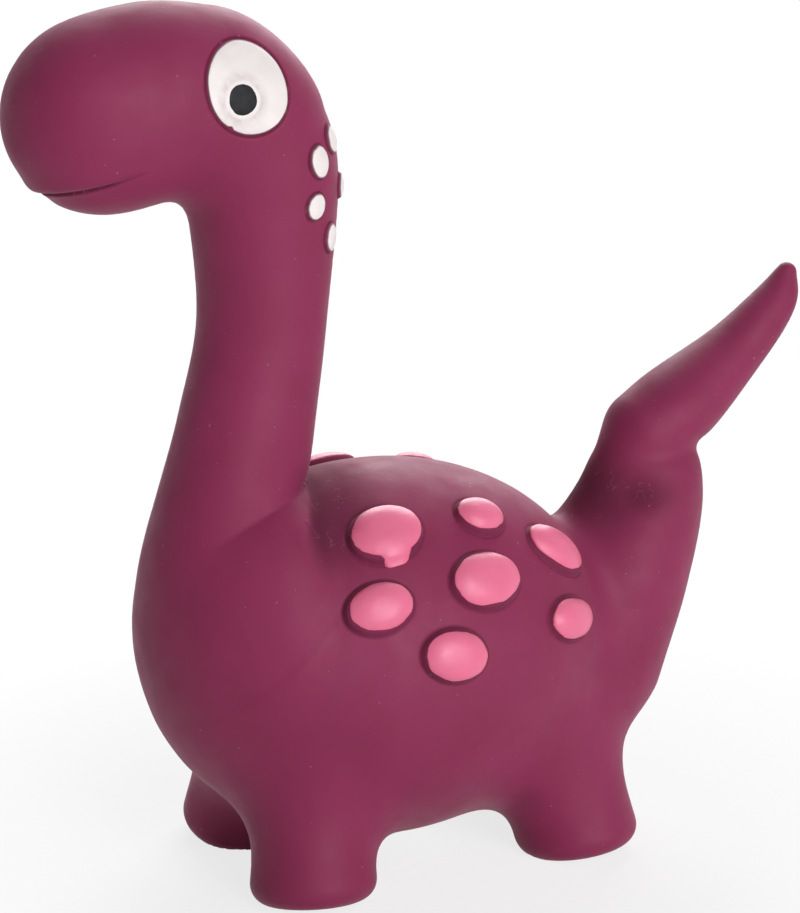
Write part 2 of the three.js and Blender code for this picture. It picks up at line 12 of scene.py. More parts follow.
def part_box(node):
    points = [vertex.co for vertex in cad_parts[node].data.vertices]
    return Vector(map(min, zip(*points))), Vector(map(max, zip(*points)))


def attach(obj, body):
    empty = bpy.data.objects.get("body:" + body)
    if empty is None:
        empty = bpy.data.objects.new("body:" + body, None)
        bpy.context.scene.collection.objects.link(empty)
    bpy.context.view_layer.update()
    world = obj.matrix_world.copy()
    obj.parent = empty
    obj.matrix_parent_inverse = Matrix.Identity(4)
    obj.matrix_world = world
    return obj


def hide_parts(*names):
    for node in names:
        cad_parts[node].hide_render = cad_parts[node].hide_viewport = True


bl_info = {
    "name": "Latex dinosaur dog toy",
    "version": (1, 0, 0),
    "blender": (4, 5, 0),
    "location": "3D View > Sidebar > Dog toy",
    "description": "Makes the latex skin, painted coats, squeaker and studio of a squeaky dinosaur",
    "category": "Object",
}

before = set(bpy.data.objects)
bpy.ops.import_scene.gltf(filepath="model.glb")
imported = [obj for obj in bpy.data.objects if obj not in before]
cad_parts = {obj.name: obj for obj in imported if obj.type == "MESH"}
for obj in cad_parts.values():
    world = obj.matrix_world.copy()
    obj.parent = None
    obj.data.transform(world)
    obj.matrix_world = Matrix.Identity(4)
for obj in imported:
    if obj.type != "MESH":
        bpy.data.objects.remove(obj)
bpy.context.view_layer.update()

MM = 0.001
BODY = "toy"


def linear(hex_colour):
    """An sRGB colour such as "8b3a5c" as the linear colour that a shader takes, by the sRGB standard's
    curve."""
    shares = [int(hex_colour[i : i + 2], 16) / 255 for i in (0, 2, 4)]
    return tuple(c / 12.92 if c <= 0.04045 else ((c + 0.055) / 1.055) ** 2.4 for c in shares) + (1.0,)


# Stations of the round sweeps in the middle plane: place, radius, and width as a share of the height.
# Head stations run back from the nose and down from the top of the head.
SNOUT = (12.4, 16, 12.6, 0.92)
CHEEK = (14.2, 15.6, 14, 0.95)
BROW = (21.7, 13.9, 13.9, 0.97)
SKULL = (28.9, 13, 12.3, 0.98)
NECK_TOP = (35.4, 18.3, 11.6, 1)
# Neck stations: share of the way up from the chest, bow forwards, radius
NECK = [(0.89, -1.8, 11.3), (0.6, -0.7, 9.6), (0.36, 3, 10.3), (0.12, 7.2, 11.8)]
# The chest: ahead of and over the body's middle, radius
CHEST = (17.5, 10.5, 19.2)
# Stem stations and the kink: back from the rump, up from the body's middle
STEM = [(-1.2, -6, 12.8, 1.15), (3.8, 6.6, 12.2, 1.12), (8.9, 18.6, 10.5, 1), (10.5, 28.1, 7.7, 0.9)]
KINK = (9.7, 30.3, 5.8, 1.2)
# Tail stations: shares of the way back and up from the kink to the tip
TAIL = [(0.21, 0.12, 6.7, 1.15), (0.6, 0.45, 5, 1.08), (0.91, 0.79, 3.6, 1)]
# The tail's tip: short of the toy's end, up from the body's middle
TAIL_TIP = (1.6, 53.5, 1.7, 1)

# Legs: the hidden top and the foot back from the body's middle, the foot's spread, and how softly the leg
# runs into the body
FRONT_LEG = (-16.5, -17.5, 15.5, 8)
REAR_LEG = (26.5, 28.5, 14.5, 11)
LEG_TOP_HEIGHT = 22
LEG_TOP_SPREAD = 10.5
LEG_TOP_RADIUS = 7
FOOT_RADIUS = 10
FOOT_ROUNDING = 3.5

# How softly the forms run into each other. The neck runs softly into the breast and meets the back in a fold,
# and its blend changes from one to the other within a stretch ahead of and behind the chest's middle.
HEAD_BLEND = 6
BREAST_BLEND = 9.5
BACK_FOLD = 2
FOLD_STRETCH = 6
RUMP_BLEND = 4.5
TAIL_BLEND = 1.5

# Painted bosses of the back: back from the body's middle, turn down the flank, half length, half width, turn
BACK_SPOTS = [
    (-6.2, 36, 5.3, 4.2, 12),
    (10, 33, 3.6, 2.9, 0),
    (23, 42, 4.8, 3.2, -18),
    (7.5, 55, 5.6, 3.9, 6),
    (-10, 59, 4.6, 3.3, 6),
    (0.5, 77, 4.8, 3.5, -10),
    (23, 71, 4.3, 2.9, 0),
]
# The upper two lie in other places on the right side: back from the body's middle, turn down the flank
UPPER_SPOTS_ON_RIGHT = [(-3.5, 29), (12, 27)]
# Drops down the nape: share of the way up the neck, turn from the back of the neck, half length, half width,
# turn
NAPE_SPOTS = [
    (0.98, 38, 1.9, 1.6, 0),
    (0.94, 62, 2.3, 1.8, 10),
    (0.88, 24, 1.8, 1.6, 0),
    (0.85, 68, 1.9, 1.6, -20),
    (0.78, 46, 2.1, 1.5, 10),
]
# Eye white and pupil: back from the nose, down from the top of the head, half length, half width, turn
EYE = (31.1, 11.6, 6.2, 6.7, 35)
PUPIL = (30, 13.1, 2.1, 2.1, 0)

# Mouth line: down from the top of the head, rise to its ends, half of its turn round the snout
MOUTH_DOWN = 26.2
MOUTH_RISE = 3.9
MOUTH_HALF_TURN = 108

# The squeaker's hole in the belly: back from the body's middle, and the radii and heights of its steps
PLUG_BACK = 5.5
FLANGE_SINK = 1.5
FLANGE_THICKNESS = 1.4
PLUG_NECK_RADIUS = 6
PLUG_BEAD_RADIUS = 7
PLUG_BEAD_HEIGHT = 2
PLUG_FLOOR = 1.6
AIR_HOLE_RADIUS = 2.5
BORE_RADIUS = 4.3
RIM_RADIUS = 12
RIM_THICKNESS = 6.5
CLEARANCE = 0.3

STEPS_PER_STATION = 12
# Farther than any point of the toy, in millimetres
FAR = 200.0
# Least values that keep a division from one by nothing: of an oval's share, a slope, a squared slope, and how
# steep the skin stands
LEAST_SHARE = 0.05
LEAST_SLOPE = 1e-4
LEAST_SQUARED_SLOPE = 0.5
LEAST_STEEPNESS = 0.05
# The step in millimetres over which the form's slope is measured
SLOPE_STEP = 0.03
# How many distances are worked out together, which is the quickest, and the heights tried to find the belly
POINTS_AT_ONCE = 4000
BELLY_TRIES = 4000


class SkinSizes(bpy.types.PropertyGroup):
    toy_length: FloatProperty(name="Toy length", description="Nose to tail tip", default=0.131, unit="LENGTH")
    toy_height: FloatProperty(name="Toy height", description="Ground to head", default=0.133, unit="LENGTH")
    body_length: FloatProperty(name="Body length", description="Of the egg", default=0.075, unit="LENGTH")
    body_width: FloatProperty(name="Body width", description="Of the egg", default=0.054, unit="LENGTH")
    body_height: FloatProperty(name="Body height", description="Of the egg", default=0.059, unit="LENGTH")
    body_from_nose: FloatProperty(
        name="Nose to body", description="Nose to the body's middle", default=0.056, unit="LENGTH"
    )
    belly_clearance: FloatProperty(
        name="Belly clearance", description="Ground to the egg", default=0.004, unit="LENGTH"
    )
    body_tilt: FloatProperty(
        name="Body tilt", description="Of the egg", default=math.radians(-2), unit="ROTATION"
    )
    wall: FloatProperty(name="Wall", description="Thickness of the latex", default=0.003, unit="LENGTH")
    boss_height: FloatProperty(
        name="Boss height", description="Rise of a back boss", default=0.001, unit="LENGTH"
    )
    boss_dome: FloatProperty(
        name="Boss dome", description="Its crown over its rim", default=0.00105, unit="LENGTH"
    )
    drop_height: FloatProperty(
        name="Drop height", description="Rise of a nape drop", default=0.0003, unit="LENGTH"
    )
    mouth_depth: FloatProperty(name="Mouth depth", description="Of its groove", default=0.0006, unit="LENGTH")


class CoatSizes(bpy.types.PropertyGroup):
    thickness: FloatProperty(
        name="Thickness", description="Of the brushed-on latex", default=0.0002, unit="LENGTH"
    )
    waviness: FloatProperty(name="Waviness", description="Wobble of the painted edge", default=0.09)
    drip: FloatProperty(name="Drip", description="Length of the drip", default=0.0012, unit="LENGTH")
    pink: FloatVectorProperty(
        name="Pink", description="Back spots", size=4, subtype="COLOR", default=linear("f3769a")
    )
    white: FloatVectorProperty(
        name="White", description="Eyes and nape", size=4, subtype="COLOR", default=linear("f9f1f0")
    )
    black: FloatVectorProperty(
        name="Black", description="Pupils", size=4, subtype="COLOR", default=linear("1f1e22")
    )
    burgundy: FloatVectorProperty(
        name="Burgundy", description="The skin", size=4, subtype="COLOR", default=linear("902f57")
    )


class SqueakerSizes(bpy.types.PropertyGroup):
    flange_radius: FloatProperty(
        name="Flange radius", description="Of the grommet", default=0.008, unit="LENGTH"
    )
    sides: IntProperty(name="Sides", description="Sides of the turned grommet", default=96)


class StudioSizes(bpy.types.PropertyGroup):
    azimuth: FloatProperty(
        name="Azimuth", description="Camera's turn", default=math.radians(-24.8), unit="ROTATION"
    )
    elevation: FloatProperty(
        name="Elevation", description="Camera's rise", default=math.radians(13.9), unit="ROTATION"
    )
    distance: FloatProperty(name="Distance", description="Camera to target", default=0.35, unit="LENGTH")
    target: FloatVectorProperty(
        name="Target", description="Middle of the picture", default=(-0.01, -0.0094, 0.0658), unit="LENGTH"
    )
    focal_pixels: FloatProperty(name="Focal length", description="In pixels of the picture", default=2345)
    floor_size: FloatProperty(name="Floor", description="Side of the floor", default=9, unit="LENGTH")


# Small shared helpers


def node(tree, kind, *inputs, named=None, **settings):
    """Adds a node with its settings, and returns its first output in use, or the node itself if it has none.
    Its inputs in use are given in order, and others by name. Each is a value, or another node's socket to
    link to."""
    new = tree.nodes.new(kind)
    for name, value in settings.items():
        setattr(new, name, value)
    in_use = [socket for socket in new.inputs if socket.enabled]
    by_name = [(new.inputs[name], value) for name, value in (named or {}).items()]
    for socket, value in [*zip(in_use, inputs), *by_name]:
        if isinstance(value, bpy.types.NodeSocket):
            tree.links.new(value, socket)
        else:
            socket.default_value = value
    return next((socket for socket in new.outputs if socket.enabled), new)


def smooth_step(low, high, value):
    share = np.clip((value - low) / (high - low), 0, 1)
    return share * share * (3 - 2 * share)


def add_mesh(name, points, faces):
    """A mesh object of points in millimetres and a list of faces."""
    mesh = bpy.data.meshes.new(name)
    mesh.from_pydata((np.asarray(points) * MM).tolist(), [], faces)
    mesh.validate()
    piece = bpy.data.objects.new(name, mesh)
    bpy.context.scene.collection.objects.link(piece)
    return piece


def made_plain(piece):
    """Turns what a piece's modifiers make into its plain mesh."""
    depsgraph = bpy.context.evaluated_depsgraph_get()
    mesh = bpy.data.meshes.new_from_object(piece.evaluated_get(depsgraph))
    piece.modifiers.clear()
    piece.data = mesh
    mesh.name = piece.name
    return piece


def smooth_shaded(piece, sharp_from):
    piece.data.shade_smooth()
    piece.data.set_sharp_from_angle(angle=math.radians(sharp_from))


def dress(piece, material, slot, *replaced):
    """Gives a piece its material and body, and hides the CAD nodes that it stands for. Its slot is not used.
    """
    piece.data.materials.clear()
    piece.data.materials.append(material)
    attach(piece, BODY)
    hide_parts(*replaced)


# The form: a field of distances from the toy's smooth outer surface


def smooth_min(a, b, blend):
    overlap = np.maximum(blend - np.abs(a - b), 0) / blend
    return np.minimum(a, b) - overlap * overlap * blend / 4


def sweep_line(stations):
    """Stations of x, z, radius and width joined by a smooth curve, as short straight steps."""
    places = np.array(stations, float)
    beyond = np.vstack([2 * places[0] - places[1], places, 2 * places[-1] - places[-2]])
    share = np.arange(STEPS_PER_STATION)[:, None] / STEPS_PER_STATION
    line = []
    for before, start, stop, after in zip(beyond, beyond[1:], beyond[2:], beyond[3:]):
        leave = (stop - before) / 2
        arrive = (after - start) / 2
        bend = 3 * (stop - start) - 2 * leave - arrive
        twist = 2 * (start - stop) + leave + arrive
        steps = start + leave * share + bend * share**2 + twist * share**3
        steps[:, 3] = (start[3] + (stop[3] - start[3]) * share)[:, 0]
        line.append(steps)
    return np.vstack(line + [places[-1:]])


def sweep_distance(line, x, y, z):
    nearest = np.full(x.shape, np.inf)
    for start, stop in zip(line, line[1:]):
        dx, dz, grow, widen = stop - start
        along = ((x - start[0]) * dx + (z - start[1]) * dz) / (dx * dx + dz * dz)
        share = np.clip(along, 0, 1)
        off_x = x - start[0] - share * dx
        off_z = z - start[1] - share * dz
        off_y = y / (start[3] + share * widen)
        off = np.sqrt(off_x * off_x + off_y * off_y + off_z * off_z)
        nearest = np.minimum(nearest, off - start[2] - share * grow)
    return nearest


class Patch:
    """The frame of an oval on the skin. It grows from a point in the middle plane outwards. pitch is the way
    out in the middle plane, 0 towards the tail and 90 up, and side is the turn from there to the left, or to
    the right of a mirrored one."""

    def __init__(self, x, z, pitch, side, length, width, turn, mirrored=False):
        pitch, side, turn = (math.radians(angle) for angle in (pitch, side, turn))
        flip = Vector((1, -1 if mirrored else 1, 1))
        self.origin = Vector((x, 0, z))
        out = Vector((math.cos(side) * math.cos(pitch), -math.sin(side), math.cos(side) * math.sin(pitch)))
        along = Matrix.Rotation(turn, 3, out) @ Vector((math.sin(pitch), 0, -math.cos(pitch)))
        self.out = out * flip
        self.along = along * flip
        self.across = self.out.cross(self.along)
        self.length = length
        self.width = width

    def edge(self, points):
        """How far points are outside the oval, along the skin, and negative inside it. Also each point's
        share of the way from the oval's middle to its edge."""
        from_origin = points - np.array(self.origin)
        along = from_origin @ np.array(self.along)
        across = from_origin @ np.array(self.across)
        share = np.hypot(along / self.length, across / self.width)
        distance = np.hypot(along, across) * (1 - 1 / np.maximum(share, LEAST_SHARE))
        behind = from_origin @ np.array(self.out) < 0
        return np.where(behind, FAR, distance), np.where(behind, FAR, share)


class Form:
    """The toy's outer form, from the sizes in the sidebar. Distances are in millimetres, and negative
    inside."""

    def __init__(self, sizes):
        self.nose = -sizes.toy_length / MM / 2
        self.tail_end = -self.nose
        self.height = sizes.toy_height / MM
        self.body_radii = np.array([sizes.body_length, sizes.body_width, sizes.body_height]) / MM / 2
        self.body_x = self.nose + sizes.body_from_nose / MM
        self.body_z = sizes.belly_clearance / MM + self.body_radii[2]
        self.tilt = sizes.body_tilt
        self.wall = sizes.wall / MM
        self.set_lines()

    def on_head(self, back, down, radius, wide):
        return (self.nose + back, self.height - down, radius, wide)

    def on_rump(self, back, up, radius, wide):
        return (self.body_x + self.body_radii[0] + back, self.body_z + up, radius, wide)

    def between(self, start, stop, run, rise, bow=0.0):
        x = start[0] + (stop[0] - start[0]) * run - bow
        return x, start[1] + (stop[1] - start[1]) * rise

    def set_lines(self):
        ahead, up, radius = CHEST
        chest = (self.body_x - ahead, self.body_z + up, radius, 1)
        neck_top = self.on_head(*NECK_TOP)
        neck = [(*self.between(chest, neck_top, rise, rise, bow), radius, 1) for rise, bow, radius in NECK]
        kink = self.on_rump(*KINK)
        short, up, radius, wide = TAIL_TIP
        tip = (self.tail_end - short, self.body_z + up, radius, wide)
        tail = [(*self.between(kink, tip, run, rise), radius, wide) for run, rise, radius, wide in TAIL]
        self.neck_ends = (chest, neck_top)
        self.head_line = sweep_line([self.on_head(*station) for station in (SNOUT, CHEEK, BROW, SKULL)])
        self.neck_line = sweep_line([neck_top, *neck, chest])
        self.stem_line = sweep_line([self.on_rump(*station) for station in STEM])
        self.tail_line = sweep_line([kink, *tail, tip])

    def body_distance(self, x, y, z):
        right = (x - self.body_x) * math.cos(self.tilt) + (z - self.body_z) * math.sin(self.tilt)
        up = (z - self.body_z) * math.cos(self.tilt) - (x - self.body_x) * math.sin(self.tilt)
        shares = [right / self.body_radii[0], y / self.body_radii[1], up / self.body_radii[2]]
        reach = np.sqrt(sum(share**2 for share in shares))
        slope = np.sqrt(sum((share / radius) ** 2 for share, radius in zip(shares, self.body_radii)))
        return reach * (reach - 1) / np.maximum(slope, LEAST_SLOPE)

    def leg_distance(self, leg, x, y, z):
        top_back, foot_back, foot_spread, _ = leg
        top = np.array([self.body_x + top_back, LEG_TOP_SPREAD, LEG_TOP_HEIGHT])
        axis = np.array([self.body_x + foot_back, foot_spread, 0]) - top
        length = np.linalg.norm(axis)
        axis = axis / length
        from_top = (x - top[0], y - top[1], z - top[2])
        along = sum(part * step for part, step in zip(from_top, axis))
        off = np.sqrt(sum((part - along * step) ** 2 for part, step in zip(from_top, axis)))
        radius = LEG_TOP_RADIUS + (FOOT_RADIUS - LEG_TOP_RADIUS) * np.clip(along / length, 0, 1)
        out = off - (radius - FOOT_ROUNDING)
        past = np.abs(along - length / 2) - (length / 2 - FOOT_ROUNDING)
        inside = np.minimum(np.maximum(out, past), 0)
        return inside + np.hypot(np.maximum(out, 0), np.maximum(past, 0)) - FOOT_ROUNDING

    def distance(self, points):
        """The distances of points, worked out a few thousand at a time."""
        flat = points.reshape(-1, 3)
        shares = np.array_split(flat, len(flat) // POINTS_AT_ONCE + 1)
        return np.concatenate([self.distance_of_few(share) for share in shares]).reshape(points.shape[:-1])

    def distance_of_few(self, points):
        x, z = points[:, 0], points[:, 2]
        y = np.abs(points[:, 1])
        neck = sweep_distance(self.neck_line, x, y, z)
        head_and_neck = smooth_min(neck, sweep_distance(self.head_line, x, y, z), HEAD_BLEND)
        form = smooth_min(
            self.body_distance(x, y, z), sweep_distance(self.stem_line, x, y, z), RUMP_BLEND
        )
        fold = smooth_step(self.neck_ends[0][0] - FOLD_STRETCH, self.neck_ends[0][0] + FOLD_STRETCH, x)
        form = smooth_min(form, head_and_neck, BREAST_BLEND + (BACK_FOLD - BREAST_BLEND) * fold)
        form = smooth_min(form, sweep_distance(self.tail_line, x, y, z), TAIL_BLEND)
        for leg in (FRONT_LEG, REAR_LEG):
            form = smooth_min(form, self.leg_distance(leg, x, y, z), leg[3])
        return np.maximum(form, -z)

    def past_neck_fold(self, points):
        """How far points lie past the fold from the neck to the back, and how full the fold is there."""
        x, z = points[:, 0], points[:, 2]
        y = np.abs(points[:, 1])
        past = sweep_distance(self.neck_line, x, y, z) - self.body_distance(x, y, z) + FOLD_ON_NECK
        behind = smooth_step(-FOLD_START, FOLD_START, x - self.neck_ends[0][0])
        return past, behind * smooth_step(FOLD_BOTTOM, FOLD_TOP, z - self.body_z)

    def slope(self, points):
        """The direction in which the distance grows, and how fast it does."""
        steps = np.eye(3) * SLOPE_STEP
        growths = [self.distance(points + step) - self.distance(points - step) for step in steps]
        return np.stack(growths, axis=1) / (2 * SLOPE_STEP)

    def onto_surface(self, points, reach, passes=2):
        """Points moved onto the surface, by less than reach in each pass."""
        for _ in range(passes):
            slope = self.slope(points)
            steepness = np.maximum((slope**2).sum(axis=1), LEAST_SQUARED_SLOPE)
            step = np.clip(-self.distance(points) / steepness, -reach, reach)
            points = points + slope * step[:, None]
        return points

    def directions(self, points):
        slope = self.slope(points)
        return slope / np.linalg.norm(slope, axis=1, keepdims=True)

    def belly_height(self):
        """The height of the belly over the ground at the squeaker's hole."""
        heights = np.linspace(0, self.body_z, BELLY_TRIES)
        places = np.array([(self.plug_x(), 0, height) for height in heights])
        return heights[np.argmax(self.distance(places) < 0)]

    def plug_x(self):
        return self.body_x + PLUG_BACK

    def neck_middle(self, height):
        return float(np.interp(-height, -self.neck_line[:, 1], self.neck_line[:, 0]))

    def back_patches(self, mirrored):
        patches = []
        for number, (back, side, *oval) in enumerate(BACK_SPOTS):
            if mirrored and number < len(UPPER_SPOTS_ON_RIGHT):
                back, side = UPPER_SPOTS_ON_RIGHT[number]
            patches.append(Patch(self.body_x + back, self.body_z, 90, side, *oval, mirrored))
        return patches

    def nape_patches(self, mirrored):
        patches = []
        chest, neck_top = self.neck_ends
        for rise, side, *oval in NAPE_SPOTS:
            height = chest[1] + (neck_top[1] - chest[1]) * rise
            patches.append(Patch(self.neck_middle(height), height, 0, side, *oval, mirrored))
        return patches

    def cheek_patch(self, back, down, length, width, turn, mirrored):
        return Patch(self.nose + back, self.height - down, 90, 90, length, width, turn, mirrored)


# The mesh of the form: a surface net, made finer where the skin has detail


def surface_net(distance, low, high, cell):
    """The closed surface where a distance is zero: one point in each grid cell that it crosses, and one quad
    across each grid edge that it cuts, parted along its shorter diagonal. The grid has planes at the ground
    and in the middle plane, so both sides get the same net."""
    first = np.floor(np.array(low) / cell).astype(int)
    count = np.ceil(np.array(high) / cell).astype(int) - first + 1
    axes = [(first[n] + np.arange(count[n])) * cell for n in range(3)]
    values = distance(np.stack(np.meshgrid(*axes, indexing="ij"), axis=-1))

    def corner(array, place):
        return array[tuple(slice(start, start + n - 1) for start, n in zip(place, count))]

    corners = [(a, b, c) for a in (0, 1) for b in (0, 1) for c in (0, 1)]
    inside = sum((corner(values, place) < 0).astype(int) for place in corners)
    crossed = (inside > 0) & (inside < len(corners))
    total = np.zeros(crossed.shape + (3,))
    cuts = np.zeros(crossed.shape)
    for place in corners:
        for axis in range(3):
            if place[axis]:
                continue
            here = corner(values, place)
            there = corner(values, tuple(1 if n == axis else p for n, p in enumerate(place)))
            cut = (here < 0) != (there < 0)
            point = np.zeros(crossed.shape + (3,)) + np.array(place, float)
            point[..., axis] += np.where(cut, here / np.where(cut, here - there, 1), 0)
            total += np.where(cut[..., None], point, 0)
            cuts += cut
    cells = np.argwhere(crossed)
    points = (first + cells + total[crossed] / cuts[crossed][:, None]) * cell
    number = np.full(crossed.shape, -1)
    number[crossed] = np.arange(len(points))

    quads = []
    for axis in range(3):
        ahead = [slice(None)] * 3
        ahead[axis] = slice(1, None)
        behind = [slice(None)] * 3
        behind[axis] = slice(None, -1)
        here, there = values[tuple(behind)], values[tuple(ahead)]
        edges = np.argwhere((here < 0) != (there < 0))
        u, v = (axis + 1) % 3, (axis + 2) % 3
        around = []
        for back_u, back_v in ((1, 1), (0, 1), (0, 0), (1, 0)):
            cell_of = edges.copy()
            cell_of[:, u] -= back_u
            cell_of[:, v] -= back_v
            around.append(number[tuple(cell_of.T)])
        around = np.stack(around, axis=1)
        outwards = here[tuple(edges.T)] < 0
        quads.append(np.where(outwards[:, None], around, around[:, ::-1]))
    return points, parted(points, np.concatenate(quads))


def parted(points, quads):
    """Two triangles for each quad, along its shorter diagonal."""
    a, b, c, d = quads.T
    first = np.linalg.norm(points[a] - points[c], axis=1) <= np.linalg.norm(points[b] - points[d], axis=1)
    one = np.where(first[:, None], np.stack([a, b, c], 1), np.stack([b, c, d], 1))
    two = np.where(first[:, None], np.stack([a, c, d], 1), np.stack([b, d, a], 1))
    return np.concatenate([one, two])


def refined(points, triangles, chosen):
    """Halves each edge of the chosen triangles, and parts their neighbours to match."""
    sides = np.sort(triangles[:, [[0, 1], [1, 2], [2, 0]]], axis=2)
    keys, place = np.unique(sides[..., 0] * len(points) + sides[..., 1], return_inverse=True)
    place = place.reshape(-1, 3)
    halved = np.zeros(len(keys), bool)
    halved[place[chosen]] = True
    ends = np.stack([keys[halved] // len(points), keys[halved] % len(points)], axis=1)
    middle = np.full(len(keys), -1)
    middle[halved] = len(points) + np.arange(len(ends))
    middles = middle[place]
    cuts = (middles >= 0).sum(axis=1)

    def turned_to(count, first):
        """Triangles with a count of halved edges, each turned so that the edge numbered first leads."""
        own = triangles[cuts == count]
        order = (first[cuts == count][:, None] + np.arange(3)) % 3
        return (
            *np.take_along_axis(own, order, axis=1).T,
            *np.take_along_axis(middles[cuts == count], order, axis=1).T,
        )

    lead = np.argmax(middles >= 0, axis=1)
    after_whole = (np.argmax(middles < 0, axis=1) + 1) % 3
    a, b, c, ab, _, _ = turned_to(1, lead)
    one = [(a, ab, c), (ab, b, c)]
    a, b, c, ab, bc, _ = turned_to(2, after_whole)
    two = [(ab, b, bc), (a, ab, bc), (a, bc, c)]
    a, b, c, ab, bc, ca = turned_to(3, lead)
    three = [(a, ab, ca), (ab, b, bc), (ca, bc, c), (ab, bc, ca)]
    pieces = [np.stack(corners, axis=1) for corners in one + two + three]
    points = np.concatenate([points, points[ends].mean(axis=1)])
    return points, np.concatenate([triangles[cuts == 0], *pieces])


def largest_body(points, triangles):
    """The largest of the closed bodies that the triangles make, as points and a list of triangles."""
    label = np.arange(len(points))
    while True:
        lowest = label.copy()
        np.minimum.at(lowest, triangles, label[triangles].min(axis=1)[:, None])
        lowest = lowest[lowest]
        if (lowest == label).all():
            break
        label = lowest
    most = np.bincount(label[triangles[:, 0]]).argmax()
    kept = triangles[label[triangles[:, 0]] == most]
    used, renumbered = np.unique(kept, return_inverse=True)
    return points[used], renumbered.reshape(-1, 3).tolist()


# The skin's detail, as heights over the form in millimetres

# The skin's slow unevenness: its height, the lengths of its waves back, aside and up, each over two pi, and
# where they start
UNEVENNESS = 0.07
WAVE_LENGTHS = (4.3, 5.1, 4.7)
WAVE_STARTS = (1, 0, 0)
# Where the walls of bosses and drops start and end, outwards from the oval's edge
BOSS_LEDGE = 0.05
BOSS_FOOT = 0.8
DROP_LEDGE = 0
DROP_FOOT = 0.25
# How full their domes are: the power by which they fall to the edge
BOSS_FULLNESS = 3
DROP_FULLNESS = 2
# The fine grooves at the feet of their walls: width and depth. Painted shade darkens each groove, a boss's
# only partly.
BOSS_GROOVE = (0.22, 0.08)
DROP_GROOVE = (0.15, 0.05)
BOSS_GROOVE_SHADE = 0.55
# A boss's wall is a little darker with painted shade. The shade sets in and ends over these stretches
# outwards from the oval's edge.
BOSS_SHADE = 0.45
BOSS_SHADE_FROM = (-0.2, 0.2)
BOSS_SHADE_TO = (BOSS_FOOT - 0.1, BOSS_FOOT + 0.5)
# The eye's groove round its white, and the rise of the skin under the white, which falls off over a stretch
# at the oval's edge
EYE_GROOVE_OUT = 0.2
EYE_GROOVE_WIDTH = 0.2
EYE_GROOVE_DEPTH = 0.2
EYE_RISE = 0.12
EYE_RISE_EDGE = (-0.6, 0.1)
# The mouth: the width of its groove, the lip over it and the hollow of the chin under it, each with its
# height or depth, its place from the line and its width, and the share of the way to its ends from which it
# fades
SLIT_WIDTH = 0.4
LIP = (0.35, 1.2, 1.3)
CHIN = (0.25, 1.4, 1.6)
MOUTH_FADE = 0.6
# The detail fades out towards the ground below this height
GROUND_FADE = 2.5
# Hollows on both flanks of the stem: back, aside and up from the body's middle, their spread along each, and
# depth
STEM_HOLLOWS = [
    ((38, 8, 21), (6, 4.5, 6), 1.3),
    ((43, 10, 23), (6, 4, 3), 0.7),
    ((48, 7, 27), (9, 7, 1.8), 0.8),
]
# Painted shade in the folds ahead of the stem, behind the neck and ahead of the hind legs: place and spread in
# the same way, and how dark the painted shade makes the latex
PAINTED_FOLD_SHADE = [
    ((37, 3, 21), (6, 8, 7), 0.9),
    ((41, 9, 21.5), (6.5, 6, 3.5), 0.8),
    ((-13, 6, 28), (6, 9, 4.5), 0.6),
    ((17.5, 17, -22.5), (3.5, 5, 3.5), 0.35),
]
# The fold between the neck and the back sets in within a short way of the chest's middle, and fades out down
# the flanks between two heights over the body's middle. It lies a little up the neck, and shade is painted on
# the latex for a stretch of the back beyond it.
FOLD_START = 2
FOLD_BOTTOM = 15
FOLD_TOP = 23
FOLD_ON_NECK = 1.2
FOLD_WIDTH = 0.8
FOLD_DEPTH = 0.6
FOLD_SHADE = 0.85
FOLD_SHADE_LENGTH = 9
# A fine wrinkle of the skin below the fold on the left: its ends, back, aside and up from the body's middle
WRINKLE = ((-17, 13, 25), (-15, 18, 19))
WRINKLE_WIDTH = 0.35
WRINKLE_HEIGHT = 0.18


def ridge(distance, width):
    """1 on a line and falling to 0 at about twice the width from it."""
    return np.exp(-((distance / width) ** 2))


